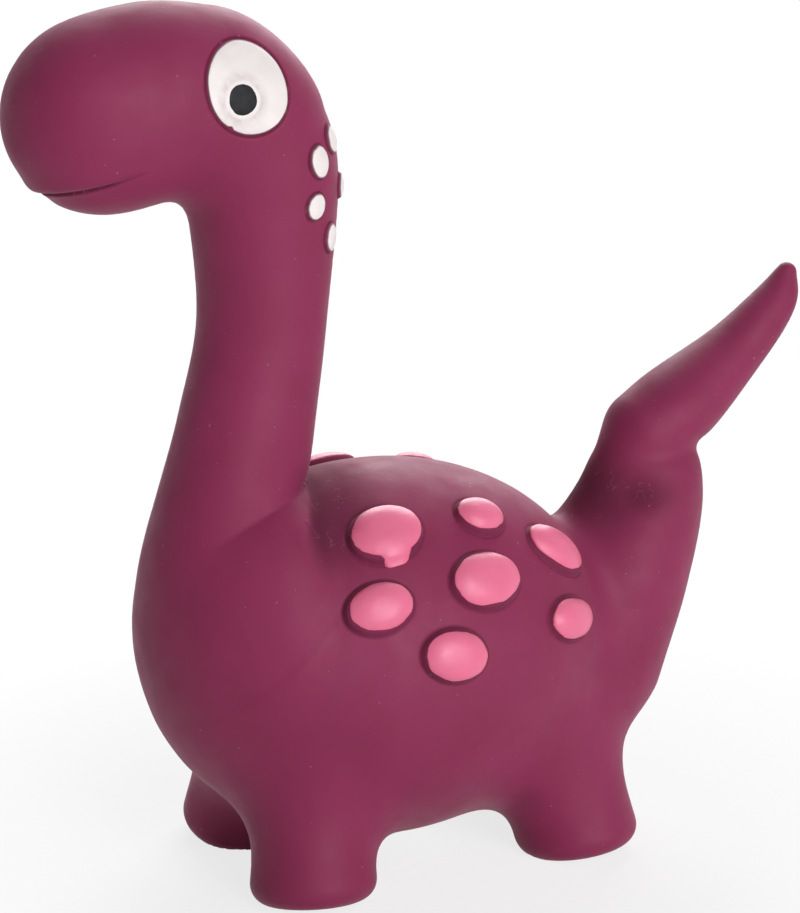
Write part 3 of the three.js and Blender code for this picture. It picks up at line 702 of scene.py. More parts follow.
class Relief:
    """The raised bosses and drops, the eyes' grooves, the folds and the mouth, as heights over the form."""

    def __init__(self, form, sizes):
        self.form = form
        sides = (False, True)
        self.back = [patch for mirrored in sides for patch in form.back_patches(mirrored)]
        self.nape = [patch for mirrored in sides for patch in form.nape_patches(mirrored)]
        self.eyes = [form.cheek_patch(*EYE, mirrored) for mirrored in sides]
        self.boss_height = sizes.boss_height / MM
        self.boss_dome = sizes.boss_dome / MM
        self.drop_height = sizes.drop_height / MM
        self.mouth_depth = sizes.mouth_depth / MM

    def to_mouth(self, points, directions):
        """How far points are over the mouth line, along the skin, and the share of the way to its ends."""
        ahead = points[:, 0] - (self.form.nose + CHEEK[0])
        turn = np.arctan2(np.abs(points[:, 1]), -ahead)
        share = turn / math.radians(MOUTH_HALF_TURN)
        line = self.form.height - MOUTH_DOWN + MOUTH_RISE * share**2
        steep = np.sqrt(np.maximum(1 - directions[:, 2] ** 2, LEAST_STEEPNESS))
        near = (share < 1) & (points[:, 0] < self.form.nose + SKULL[0])
        return np.where(near, (points[:, 2] - line) / steep, FAR), share

    def nearness(self, points, place, spread):
        """How near points are to a place on either flank, 1 there and falling to 0 past its spread."""
        back, aside, up = place
        either_side = np.column_stack([points[:, 0], np.abs(points[:, 1]), points[:, 2]])
        off = (either_side - (self.form.body_x + back, aside, self.form.body_z + up)) / spread
        return np.exp(-(off**2).sum(axis=1))

    def off_wrinkle(self, points):
        """How far points are off the wrinkle."""
        middle = (self.form.body_x, 0, self.form.body_z)
        top, bottom = ((np.array(end) * [1, -1, 1]) + middle for end in WRINKLE)
        run = bottom - top
        share = np.clip((points - top) @ run / (run @ run), 0, 1)
        return np.linalg.norm(points - top - share[:, None] * run, axis=1)

    def heights(self, points, directions):
        """The height at each point, and how much shade is painted there on the skin, from 0 to 1: in its
        grooves, folds and on the bosses' walls.
        """
        lengths_and_starts = enumerate(zip(WAVE_LENGTHS, WAVE_STARTS))
        waves = [np.sin(points[:, axis] / length + start) for axis, (length, start) in lengths_and_starts]
        height = UNEVENNESS * waves[0] * waves[1] * waves[2]
        crease = np.zeros(len(points))
        self.add_bosses(points, height, crease)
        self.add_drops(points, height, crease)
        self.add_eyes(points, height, crease)
        self.add_hollows_and_folds(points, height, crease)
        self.add_mouth(points, directions, height, crease)
        return height * smooth_step(0, GROUND_FADE, points[:, 2]), crease

    def add_bosses(self, points, height, crease):
        """The domed bosses of the back, with their steep walls."""
        width, depth = BOSS_GROOVE
        for patch in self.back:
            edge, share = patch.edge(points)
            dome = self.boss_dome * np.clip(1 - share**BOSS_FULLNESS, 0, 1)
            wall = 1 - smooth_step(BOSS_LEDGE, BOSS_FOOT, edge)
            groove = ridge(edge - BOSS_FOOT, width)
            height += dome + self.boss_height * wall - depth * groove
            # Painted shade in the groove at the wall's foot and on the wall itself
            inner, outer = smooth_step(*BOSS_SHADE_FROM, edge), smooth_step(*BOSS_SHADE_TO, edge)
            shaded = BOSS_SHADE * inner * (1 - outer)
            np.maximum(crease, np.maximum(BOSS_GROOVE_SHADE * groove, shaded), out=crease)

    def add_drops(self, points, height, crease):
        """The low drops of the nape."""
        width, depth = DROP_GROOVE
        for patch in self.nape:
            edge, share = patch.edge(points)
            dome = self.drop_height * np.clip(1 - share**DROP_FULLNESS, 0, 1)
            wall = 1 - smooth_step(DROP_LEDGE, DROP_FOOT, edge)
            groove = ridge(edge - DROP_FOOT, width)
            height += dome + self.drop_height * wall - depth * groove
            # Painted shade along the groove
            np.maximum(crease, groove, out=crease)

    def add_eyes(self, points, height, crease):
        """The eyes' low mounds, each with a groove round it."""
        for patch in self.eyes:
            edge, _ = patch.edge(points)
            groove = ridge(edge - EYE_GROOVE_OUT, EYE_GROOVE_WIDTH)
            height += EYE_RISE * (1 - smooth_step(*EYE_RISE_EDGE, edge)) - EYE_GROOVE_DEPTH * groove
            # Painted shade along the groove round the eye
            np.maximum(crease, groove, out=crease)

    def add_hollows_and_folds(self, points, height, crease):
        """The hollows and the folds with painted shade round the stem, the fold behind the neck with painted
        shade beyond it, and the wrinkle below it.
        """
        for place, spread, depth in STEM_HOLLOWS:
            height -= depth * self.nearness(points, place, spread)
        # Painted shade in the folds
        for place, spread, shade in PAINTED_FOLD_SHADE:
            np.maximum(crease, shade * self.nearness(points, place, spread), out=crease)
        past_fold, fold_share = self.form.past_neck_fold(points)
        height -= FOLD_DEPTH * ridge(past_fold, FOLD_WIDTH) * fold_share
        # Painted shade on the back beyond the neck's fold
        starting = smooth_step(-FOLD_WIDTH, 0, past_fold)
        ending = smooth_step(0, FOLD_SHADE_LENGTH, past_fold)
        shaded = starting * (1 - ending)
        np.maximum(crease, FOLD_SHADE * shaded * fold_share, out=crease)
        height += WRINKLE_HEIGHT * ridge(self.off_wrinkle(points), WRINKLE_WIDTH)

    def add_mouth(self, points, directions, height, crease):
        """The mouth's groove, the lip over it and the hollow of the chin under it."""
        over, share = self.to_mouth(points, directions)
        fade = 1 - smooth_step(MOUTH_FADE, 1, share)
        slit = ridge(over, SLIT_WIDTH) * fade
        rise, above, width = LIP
        lip = rise * ridge(over - above, width) * fade * (over > 0)
        depth, below, width = CHIN
        chin = depth * ridge(over + below, width) * fade
        height += lip - chin - self.mouth_depth * slit
        # Painted shade along the mouth's slit
        np.maximum(crease, slit, out=crease)

    def wanted_size(self, points, directions):
        """The size of triangle that the detail at each point needs, in millimetres."""
        details = [
            (self.back, BOSS_DETAIL_OUT, FINE_ROUND_BOSS),
            (self.nape, DROP_FOOT / 2, FINE_ROUND_DROP),
            (self.eyes, EYE_GROOVE_OUT, FINE_ROUND_EYE),
        ]
        away = []
        for patches, out, reach in details:
            away += [(np.abs(patch.edge(points)[0] - out), reach) for patch in patches]
        past_fold, fold_share = self.form.past_neck_fold(points)
        away.append((np.abs(self.to_mouth(points, directions)[0]), FINE_ROUND_MOUTH))
        away.append((self.off_wrinkle(points), FINE_ROUND_WRINKLE))
        away.append((np.where(fold_share > 0, np.abs(past_fold), FAR), FINE_ROUND_FOLD))
        size = np.full(len(points), COARSE)
        for off, reach in away:
            size = np.minimum(size, FINE + GRADING * np.maximum(off - reach, 0))
        return size


# How far the finest triangles reach to each side of a detail, in millimetres. A boss's detail has its middle
# a little outwards from the middle of its wall.
FINE_ROUND_BOSS = 0.7
FINE_ROUND_DROP = 0.5
FINE_ROUND_EYE = 0.4
FINE_ROUND_MOUTH = 0.8
FINE_ROUND_WRINKLE = 0.5
FINE_ROUND_FOLD = 0.8
BOSS_DETAIL_OUT = BOSS_FOOT / 2 + 0.1
# Mesh sizes in millimetres: the plain skin, the finest detail, how fast sizes grow away from it, the sharpest
# round ends, and the hollow
COARSE = 1.6
FINE = 0.23
GRADING = 0.3
ROUND_END = 0.5
HOLLOW_CELL = 3
# The share of the wall past which a point belongs to the hollow
HOLLOW_START = 0.8
# Corners of a triangle may turn this far from each other, in degrees
TURN_LIMIT = 9
# Edges this many times as long as wanted are halved, in each pass
TOO_LONG = 1.5
REFINING_PASSES = 3
# How far the tools that cut the skin reach past the latex, in millimetres
CUT_PAST = 1
# Edges sharper than these angles in degrees are shaded as edges
SKIN_SHARP_FROM = 50
PLUG_SHARP_FROM = 40


def skin_surface(form, relief):
    """The outer surface with its detail, as points and a list of triangles."""
    low, high = (np.array(corner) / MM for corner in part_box("latex_skin"))
    margin = 2 * COARSE
    points, triangles = surface_net(form.distance, low - margin, high + margin, COARSE)
    points = form.onto_surface(points, COARSE / 2)
    for _ in range(REFINING_PASSES):
        directions = form.directions(points)
        corners = points[triangles]
        longest = np.linalg.norm(corners - np.roll(corners, 1, axis=1), axis=2).max(axis=1)
        outwards = directions[triangles]
        agreement = (outwards * np.roll(outwards, 1, axis=1)).sum(axis=2).min(axis=1)
        curved = agreement < math.cos(math.radians(TURN_LIMIT))
        wanted = relief.wanted_size(corners.mean(axis=1), outwards.mean(axis=1))
        chosen = (longest > TOO_LONG * wanted) | (curved & (longest > TOO_LONG * ROUND_END))
        kept = len(points)
        points, triangles = refined(points, triangles, chosen)
        points[kept:] = form.onto_surface(points[kept:], COARSE / 4)
    directions = form.directions(points)
    height, _ = relief.heights(points, directions)
    return points + directions * height[:, None], triangles.tolist()


def solid_disc(name, x, radius, bottom, top, sides=96):
    """An upright closed disc with its axis in the middle plane."""
    turn = np.linspace(0, 2 * math.pi, sides, endpoint=False)
    ring = np.stack([x + radius * np.cos(turn), radius * np.sin(turn)], axis=1)
    points = [(*place, height) for height in (bottom, top) for place in ring]
    walls = [(i, (i + 1) % sides, sides + (i + 1) % sides, sides + i) for i in range(sides)]
    return add_mesh(name, points, [*walls, tuple(range(sides))[::-1], tuple(range(sides, 2 * sides))])


def cut_away(piece, cutter):
    """Cuts a cutter out of a piece and deletes it."""
    modifier = piece.modifiers.new("Cut", "BOOLEAN")
    modifier.operation = "DIFFERENCE"
    modifier.solver = "MANIFOLD"
    modifier.object = cutter
    made_plain(piece)
    bpy.data.objects.remove(cutter)


def hollow_of(form):
    """The air space inside the skin, which leaves a thick rim round the squeaker's hole. Thin ends, such as
    the tail's tip, fill up in the mould."""
    low, high = (np.array(corner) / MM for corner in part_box("latex_skin"))
    points, triangles = surface_net(lambda places: form.distance(places) + form.wall, low, high, HOLLOW_CELL)
    hollow = add_mesh("hollow", *largest_body(points, triangles))
    rim_top = form.belly_height() + RIM_THICKNESS
    cut_away(hollow, solid_disc("rim", form.plug_x(), RIM_RADIUS, -CUT_PAST, rim_top))
    return hollow


class TOY_OT_skin(bpy.types.Operator):
    """Makes the hollow latex skin with its bosses, grooves and squeaker hole"""

    bl_idname = "toy.skin"
    bl_label = "Latex skin"

    def execute(self, context):
        sizes = context.scene.toy_skin
        form = Form(sizes)
        relief = Relief(form, sizes)
        skin = add_mesh("moulded_skin", *skin_surface(form, relief))
        cut_away(skin, hollow_of(form))
        belly = form.belly_height()
        seat_radius = context.scene.toy_squeaker.flange_radius / MM + CLEARANCE
        seat_top = belly + FLANGE_SINK + FLANGE_THICKNESS + CLEARANCE
        cut_away(skin, solid_disc("seat", form.plug_x(), seat_radius, -CUT_PAST, seat_top))
        hole_top = belly + RIM_THICKNESS + CUT_PAST
        cut_away(skin, solid_disc("hole", form.plug_x(), PLUG_NECK_RADIUS + CLEARANCE, 0, hole_top))
        self.mark_painted_shade(skin, form, relief)
        smooth_shaded(skin, SKIN_SHARP_FROM)
        dress(skin, burgundy_latex(context.scene.toy_coats), "latex_burgundy", "latex_skin")
        return {"FINISHED"}

    def mark_painted_shade(self, skin, form, relief):
        """Keeps how much shade is painted at each point, in grooves, folds and on bosses' walls, for the
        skin's material.
        """
        places = np.empty(len(skin.data.vertices) * 3, np.float32)
        skin.data.vertices.foreach_get("co", places)
        points = places.reshape(-1, 3).astype(float) / MM
        _, crease = relief.heights(points, form.directions(points))
        outside = form.distance(points) > -HOLLOW_START * form.wall
        # Painted shade, stored on the skin's points for its colour
        attribute = skin.data.attributes.new("crease", "FLOAT", "POINT")
        attribute.data.foreach_set("value", (crease * outside).astype(np.float32))
        skin.data.update()


# Painted coats: one Geometry Nodes tree lays an oval of thin latex on the skin

# Each coat's seed is counted from its kind's
EYE_SEED = 20
PUPIL_SEED = 30
BACK_SEED = 40
NAPE_SEED = 60
# The eyes' share of the wobble, because they were painted with more care
EYE_WAVINESS = 0.35
# How far paint runs over the edge of its oval, in millimetres. The white of an eye stops short of it.
EYE_OVERLAP = -0.12
SPOT_OVERLAP = 0.12
# A drip's turn from the spot's length in degrees, and how wide it is: the cosines of the angles from its
# middle at which it starts and is full
DRIP_TURN = -97
DRIP_WIDTH = (0.88, 1)
# The notch in the left eye's white in the same way, and its depth in millimetres
NOTCH_TURN = -155
NOTCH_WIDTH = (0.995, 1)
NOTCH_DEPTH = 0.35
# How much thicker the coat gets per metre of drip
DRIP_SWELLING = 1500
# The coat's mesh, the scale of its edge's wobble, and the power that makes its edge blunt
COAT_SEGMENTS = 72
COAT_RINGS = 26
WOBBLE_SCALE = 1.3
EDGE_BLUNTNESS = 0.55
# The power of the share of the way to the edge at which a drip sets in
DRIP_ONSET = 8
# From how far out the coat is laid, in metres
LAID_FROM = 0.1


def coat_tree():
    """A thin oval with a wavy edge and one drip, laid on the skin along the way out."""
    tree = bpy.data.node_groups.new("Brushed coat", "GeometryNodeTree")
    sockets = {
        "Skin": "Object",
        "Origin": "Vector",
        "Outwards": "Vector",
        "Along": "Vector",
        "Length": "Float",
        "Width": "Float",
        "Thickness": "Float",
        "Lift": "Float",
        "Waviness": "Float",
        "Seed": "Float",
        "Drip": "Float",
        "Drip turn": "Float",
        "Drip start": "Float",
        "Drip full": "Float",
        "Material": "Material",
    }
    for name, kind in sockets.items():
        tree.interface.new_socket(name, in_out="INPUT", socket_type=f"NodeSocket{kind}")
    tree.interface.new_socket("Geometry", in_out="OUTPUT", socket_type="NodeSocketGeometry")
    given = node(tree, "NodeGroupInput").node.outputs

    # A ball, whose upper half becomes the coat's face and whose equator becomes its edge
    ball = node(tree, "GeometryNodeMeshUVSphere", COAT_SEGMENTS, COAT_RINGS, 1)
    parts = node(tree, "ShaderNodeSeparateXYZ", node(tree, "GeometryNodeInputPosition")).node.outputs
    flat = node(tree, "ShaderNodeCombineXYZ", parts[0], parts[1])
    rim = node(tree, "ShaderNodeVectorMath", flat, operation="NORMALIZE")
    edge_share = node(tree, "ShaderNodeVectorMath", flat, operation="LENGTH")

    # The edge's wobble goes round the rim, so it closes. The noise runs from 0 to 1, and is made to swing from
    # -1 to 1.
    shift = node(tree, "ShaderNodeCombineXYZ", 0, 0, given["Seed"])
    around = node(tree, "ShaderNodeVectorMath", rim, shift, operation="ADD")
    wobble = node(tree, "ShaderNodeTexNoise", named={"Vector": around, "Scale": WOBBLE_SCALE, "Detail": 2})
    swing = node(tree, "ShaderNodeMath", wobble, 0.5, operation="SUBTRACT")
    swing = node(tree, "ShaderNodeMath", swing, given["Waviness"], operation="MULTIPLY")
    reach = node(tree, "ShaderNodeMath", swing, 2, 1, operation="MULTIPLY_ADD")

    # The drip swells the rim in one direction, and is thicker. A negative one is a notch.
    ahead = node(tree, "ShaderNodeMath", given["Drip turn"], operation="COSINE")
    aside = node(tree, "ShaderNodeMath", given["Drip turn"], operation="SINE")
    towards = node(tree, "ShaderNodeCombineXYZ", ahead, aside)
    nearness = node(tree, "ShaderNodeVectorMath", rim, towards, operation="DOT_PRODUCT")
    ends = (given["Drip start"], given["Drip full"])
    drip = node(tree, "ShaderNodeMapRange", nearness, *ends, interpolation_type="SMOOTHERSTEP")
    onset = node(tree, "ShaderNodeMath", edge_share, DRIP_ONSET, operation="POWER")
    for share in (given["Drip"], onset):
        drip = node(tree, "ShaderNodeMath", drip, share, operation="MULTIPLY")

    # The oval, carried along the skin's directions to a start outside the skin
    size = node(tree, "ShaderNodeCombineXYZ", given["Length"], given["Width"])
    oval = node(tree, "ShaderNodeVectorMath", flat, size, operation="MULTIPLY")
    oval = node(tree, "ShaderNodeVectorMath", oval, reach, operation="SCALE")
    swollen = node(tree, "ShaderNodeVectorMath", rim, drip, operation="SCALE")
    oval = node(tree, "ShaderNodeVectorMath", oval, swollen, operation="ADD")
    spread = node(tree, "ShaderNodeSeparateXYZ", oval).node.outputs
    along, outwards = given["Along"], given["Outwards"]
    across = node(tree, "ShaderNodeVectorMath", outwards, along, operation="CROSS_PRODUCT")
    start = given["Origin"]
    for direction, distance in ((along, spread[0]), (across, spread[1]), (outwards, LAID_FROM)):
        step = node(tree, "ShaderNodeVectorMath", direction, distance, operation="SCALE")
        start = node(tree, "ShaderNodeVectorMath", start, step, operation="ADD")

    # Where it meets the skin, and which way the skin faces there
    ray = {
        "Target Geometry": node(tree, "GeometryNodeObjectInfo", given["Skin"]).node.outputs["Geometry"],
        "Attribute": node(tree, "GeometryNodeInputNormal"),
        "Source Position": start,
        "Ray Direction": node(tree, "ShaderNodeVectorMath", outwards, -1, operation="SCALE"),
        "Ray Length": LAID_FROM,
    }
    how = {"data_type": "FLOAT_VECTOR", "mapping": "INTERPOLATED"}
    hit = node(tree, "GeometryNodeRaycast", named=ray, **how).node.outputs

    # The face stands over the skin by the thickness, with a blunt edge, and the back lies a little under it
    side = node(tree, "ShaderNodeMath", parts[2], operation="SIGN")
    depth = node(tree, "ShaderNodeMath", parts[2], operation="ABSOLUTE")
    depth = node(tree, "ShaderNodeMath", depth, EDGE_BLUNTNESS, operation="POWER")
    height = node(tree, "ShaderNodeMath", depth, side, operation="MULTIPLY")
    height = node(tree, "ShaderNodeMath", height, given["Thickness"], operation="MULTIPLY")
    swelling = node(tree, "ShaderNodeMath", drip, 0, operation="MAXIMUM")
    thicker = node(tree, "ShaderNodeMath", swelling, DRIP_SWELLING, 1, operation="MULTIPLY_ADD")
    height = node(tree, "ShaderNodeMath", height, thicker, given["Lift"], operation="MULTIPLY_ADD")
    raised = node(tree, "ShaderNodeVectorMath", hit["Attribute"], height, operation="SCALE")
    on_skin = node(tree, "ShaderNodeVectorMath", hit["Hit Position"], raised, operation="ADD")

    # How far each point is from the edge, for the material
    inwards = node(tree, "ShaderNodeMath", 1, edge_share, operation="SUBTRACT")
    to_edge = node(tree, "ShaderNodeMath", inwards, given["Width"], operation="MULTIPLY")
    kept = {"Geometry": ball, "Name": "to_edge", "Value": to_edge}
    measured = node(tree, "GeometryNodeStoreNamedAttribute", named=kept)
    laid = node(tree, "GeometryNodeSetPosition", named={"Geometry": measured, "Position": on_skin})
    shaded = node(tree, "GeometryNodeSetShadeSmooth", laid)
    real = node(tree, "GeometryNodeRealizeInstances", shaded)
    coated = {"Geometry": real, "Material": given["Material"]}
    node(tree, "NodeGroupOutput", node(tree, "GeometryNodeSetMaterial", named=coated))
    return tree


def lay_coat(
    name,
    patch,
    material,
    seed,
    wavy=1.0,
    lift=0.0,
    overlap=0.0,
    drip=0.0,
    drip_turn=0.0,
    drip_width=DRIP_WIDTH,
):
    """Lays one coat on the skin."""
    sizes = bpy.context.scene.toy_coats
    tree = bpy.data.node_groups.get("Brushed coat") or coat_tree()
    values = {
        "Skin": bpy.data.objects["moulded_skin"],
        "Origin": patch.origin * MM,
        "Outwards": patch.out,
        "Along": patch.along,
        "Length": (patch.length + overlap) * MM,
        "Width": (patch.width + overlap) * MM,
        "Thickness": sizes.thickness,
        "Lift": lift,
        "Waviness": sizes.waviness * wavy,
        "Seed": float(seed),
        "Drip": drip,
        "Drip turn": math.radians(drip_turn),
        "Drip start": drip_width[0],
        "Drip full": drip_width[1],
        "Material": material,
    }
    coat = bpy.data.objects.new(f"painted_{name}", bpy.data.meshes.new(name))
    bpy.context.scene.collection.objects.link(coat)
    modifier = coat.modifiers.new("Brushed coat", "NODES")
    modifier.node_group = tree
    for socket in tree.interface.items_tree:
        if socket.in_out == "INPUT":
            modifier[socket.identifier] = values[socket.name]
    return made_plain(coat)


SIDES = {"left": False, "right": True}


class TOY_OT_eyes(bpy.types.Operator):
    """Paints the whites of the eyes and the pupils"""

    bl_idname = "toy.eyes"
    bl_label = "Eyes"

    def execute(self, context):
        form = Form(context.scene.toy_skin)
        sizes = context.scene.toy_coats
        white = white_latex(sizes, form)
        black = black_latex(sizes)
        for side, mirrored in SIDES.items():
            # Only the left white has a notch in its edge
            notch = {"drip": -NOTCH_DEPTH * MM, "drip_turn": NOTCH_TURN, "drip_width": NOTCH_WIDTH}
            flaw = {} if mirrored else notch
            eye = f"eye_white_{side}"
            oval = form.cheek_patch(*EYE, mirrored)
            seed = EYE_SEED + mirrored
            coat = lay_coat(eye, oval, white, seed, wavy=EYE_WAVINESS, overlap=EYE_OVERLAP, **flaw)
            dress(coat, white, "latex_white", eye)
            pupil = f"pupil_{side}"
            dot = form.cheek_patch(*PUPIL, mirrored)
            coat = lay_coat(pupil, dot, black, PUPIL_SEED + mirrored, lift=sizes.thickness)
            dress(coat, black, "latex_black", pupil)
        return {"FINISHED"}


class TOY_OT_back_spots(bpy.types.Operator):
    """Paints the pink tops of the bosses on the back"""

    bl_idname = "toy.back_spots"
    bl_label = "Back spots"

    def execute(self, context):
        form = Form(context.scene.toy_skin)
        sizes = context.scene.toy_coats
        pink = pink_latex(sizes)
        for side, mirrored in SIDES.items():
            for number, patch in enumerate(form.back_patches(mirrored), 1):
                name = f"back_spot_{side}_{number}"
                # The brush left a drip at the lower edge of the first spot on the left
                dripped = number == 1 and not mirrored
                drip = {"drip": sizes.drip, "drip_turn": DRIP_TURN} if dripped else {}
                seed = BACK_SEED + 2 * number + mirrored
                coat = lay_coat(name, patch, pink, seed, overlap=SPOT_OVERLAP, **drip)
                dress(coat, pink, "latex_pink", name)
        return {"FINISHED"}


class TOY_OT_nape_spots(bpy.types.Operator):
    """Paints the white drops down the nape"""

    bl_idname = "toy.nape_spots"
    bl_label = "Nape spots"

    def execute(self, context):
        form = Form(context.scene.toy_skin)
        white = white_latex(context.scene.toy_coats, form)
        for side, mirrored in SIDES.items():
            for number, patch in enumerate(form.nape_patches(mirrored), 1):
                name = f"nape_spot_{side}_{number}"
                coat = lay_coat(name, patch, white, NAPE_SEED + 2 * number + mirrored)
                dress(coat, white, "latex_white", name)
        return {"FINISHED"}


# The squeaker


def turned(name, profile, x, sides):
    """A ring-shaped piece turned from a closed profile of radius and height, counted anticlockwise."""
    count = len(profile)
    points = []
    faces = []
    for i in range(sides):
        angle = 2 * math.pi * i / sides
        for radius, height in profile:
            points.append((x + radius * math.cos(angle), radius * math.sin(angle), height))
        here, there = i * count, (i + 1) % sides * count
        for this in range(count):
            after = (this + 1) % count
            faces.append((here + this, there + this, there + after, here + after))
    return add_mesh(name, points, faces)


# The grommet's slopes and roundings in millimetres: the bevel of the flange's rim, the rise of the bead's
# lower side, how far its upper side runs in, and the rounding of every edge with its steps
FLANGE_BEVEL = 0.5
BEAD_RISE = 0.4
BEAD_RUN_IN = 1
EDGE_ROUNDING = 0.2
EDGE_ROUNDING_STEPS = 3


class TOY_OT_squeaker(bpy.types.Operator):
    """Makes the grommet in the belly and finishes the tube, block, wedge and reed inside it"""

    bl_idname = "toy.squeaker"
    bl_label = "Squeaker"

    def execute(self, context):
        sizes = context.scene.toy_squeaker
        form = Form(context.scene.toy_skin)
        plastic = white_polypropylene()
        bottom = form.belly_height() + FLANGE_SINK
        top = bottom + FLANGE_THICKNESS
        bead = form.belly_height() + RIM_THICKNESS + CLEARANCE
        flange = sizes.flange_radius / MM
        floor = bottom + PLUG_FLOOR
        profile = [
            (AIR_HOLE_RADIUS, bottom),
            (flange - FLANGE_BEVEL, bottom),
            (flange, bottom + FLANGE_BEVEL),
            (flange, top),
            (PLUG_NECK_RADIUS, top),
            (PLUG_NECK_RADIUS, bead),
            (PLUG_BEAD_RADIUS, bead + BEAD_RISE),
            (PLUG_BEAD_RADIUS - BEAD_RUN_IN, bead + PLUG_BEAD_HEIGHT),
            (BORE_RADIUS, bead + PLUG_BEAD_HEIGHT),
            (BORE_RADIUS, floor),
            (AIR_HOLE_RADIUS, floor),
        ]
        plug = turned("moulded_plug", profile, form.plug_x(), sizes.sides)
        rounding = plug.modifiers.new("Rounded edges", "BEVEL")
        rounding.width = EDGE_ROUNDING * MM
        rounding.segments = EDGE_ROUNDING_STEPS
        made_plain(plug)
        smooth_shaded(plug, PLUG_SHARP_FROM)
        dress(plug, plastic, "squeaker_plastic", "squeaker_plug")
        finishes = {"reed_tube": plastic, "reed_block": plastic, "reed_wedge": plastic}
        finishes["reed_tongue"] = polyester_film()
        for name, material in finishes.items():
            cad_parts[name].data.materials.clear()
            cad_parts[name].data.materials.append(material)
        return {"FINISHED"}


# Materials


def new_material(name):
    material = bpy.data.materials.new(name)
    material.use_nodes = True
    material.node_tree.nodes.clear()
    return material, material.node_tree


def grain(tree, size, detail=3):
    """A pattern of soft lumps of about a size in metres."""
    place = node(tree, "ShaderNodeTexCoord").node.outputs["Object"]
    return node(tree, "ShaderNodeTexNoise", named={"Vector": place, "Scale": 1 / size, "Detail": detail})


def patchy(tree, size, low, high, softness=0.2):
    """A value that drifts between two in patches of about a size in metres, with softer or sharper ends."""
    return node(tree, "ShaderNodeMapRange", grain(tree, size), 0.5 - softness, 0.5 + softness, low, high)


def mottled(tree, size, one, other, softness=0.15):
    """A colour that drifts between two in the same way."""
    share = patchy(tree, size, 0, 1, softness)
    return node(tree, "ShaderNodeMix", share, one, other, data_type="RGBA")


def finish(tree, colour, roughness, layers, look):
    """Completes a material from its colour and roughness, its layers of bump, each a pattern and its depth in
    metres, and what else the eye sees of it."""
    bump = {}
    for pattern, depth in layers:
        relief = {"Height": pattern, "Distance": depth, "Strength": 1, **bump}
        bump = {"Normal": node(tree, "ShaderNodeBump", named=relief)}
    look = {"Base Color": colour, "Roughness": roughness, **bump, **look}
    node(tree, "ShaderNodeOutputMaterial", node(tree, "ShaderNodeBsdfPrincipled", named=look))


# How strongly latex, polypropylene and polyester bend light
LATEX_IOR = 1.52
POLYPROPYLENE_IOR = 1.49
POLYESTER_IOR = 1.58


def burgundy_latex(sizes):
    """Natural latex, slush-moulded and coloured through: matt and slightly grey with bloom, with shade painted
    darker in its creases and folds, which are also rougher, a few pale wrinkles there, fine pale specks and a
    fine grain from the plaster mould."""
    material, tree = new_material("Burgundy slush-moulded latex")
    colour = mottled(tree, 0.012, linear("882b50"), tuple(sizes.burgundy), 0.2)
    # Painted shade: the skin's attribute darkens the colour in grooves, folds and on the bosses' walls
    crease = node(tree, "ShaderNodeAttribute", attribute_name="crease").node.outputs["Fac"]
    painted_shade_share = node(tree, "ShaderNodeMapRange", crease, 0.1, 1, 0, 0.75)
    # Pale wrinkles are thin lines along one level of a noise, in some patches of the most deeply painted shade
    off_level = node(tree, "ShaderNodeMath", grain(tree, 0.003), 0.5, operation="SUBTRACT")
    off_level = node(tree, "ShaderNodeMath", off_level, operation="ABSOLUTE")
    wrinkles = node(tree, "ShaderNodeMapRange", off_level, 0, 0.01, 0.5, 0)
    darkest = node(tree, "ShaderNodeMapRange", crease, 0.5, 0.8)
    some = node(tree, "ShaderNodeMapRange", grain(tree, 0.005), 0.5, 0.6)
    for shown in (darkest, some):
        wrinkles = node(tree, "ShaderNodeMath", wrinkles, shown, operation="MULTIPLY")
    # Real specks of dust are finer, and so is the mould's grain. Both are drawn this coarse to show.
    specks = node(tree, "ShaderNodeMapRange", grain(tree, 0.0007, 1), 0.765, 0.8, 0, 0.35)
    for share, tone in ((painted_shade_share, "461a2b"), (wrinkles, "a67a8b"), (specks, "b98c99")):
        colour = node(tree, "ShaderNodeMix", share, colour, linear(tone), data_type="RGBA")
    dusty = node(tree, "ShaderNodeMapRange", crease, 0.1, 0.8, 0, 0.3)
    roughness = node(tree, "ShaderNodeMath", patchy(tree, 0.004, 0.52, 0.64), dusty, operation="ADD")
    look = {
        "IOR": LATEX_IOR,
        "Specular IOR Level": 0.22,
        "Sheen Weight": 0.1,
        "Sheen Roughness": 0.4,
        "Sheen Tint": linear("f2d4de"),
    }
    finish(tree, colour, roughness, [(grain(tree, 0.0035), 0.00006), (grain(tree, 0.0005), 0.000012)], look)
    return material


def pink_latex(sizes):
    """Coloured latex brushed on thickly: satin, a little uneven, with soft brush marks."""
    material, tree = new_material("Pink brushed-on latex")
    colour = mottled(tree, 0.003, linear("ef7297"), tuple(sizes.pink))
    look = {"IOR": LATEX_IOR, "Sheen Weight": 0.25, "Sheen Roughness": 0.3, "Sheen Tint": linear("ffe4ea")}
    finish(tree, colour, patchy(tree, 0.002, 0.34, 0.44), [(grain(tree, 0.0018), 0.00005)], look)
    return material


# In metres from the pupil's middle: where the grey smudge on the white starts and is full, and where it
# starts to fade and is gone. It lies round a clean ring of white at the pupil's edge.
SMUDGE_IN = (0.0024, 0.0028)
SMUDGE_OUT = (0.0029, 0.0042)
# In metres from the white's edge: where its dark line starts to fade and is gone
EDGE_LINE = (0.00008, 0.00022)


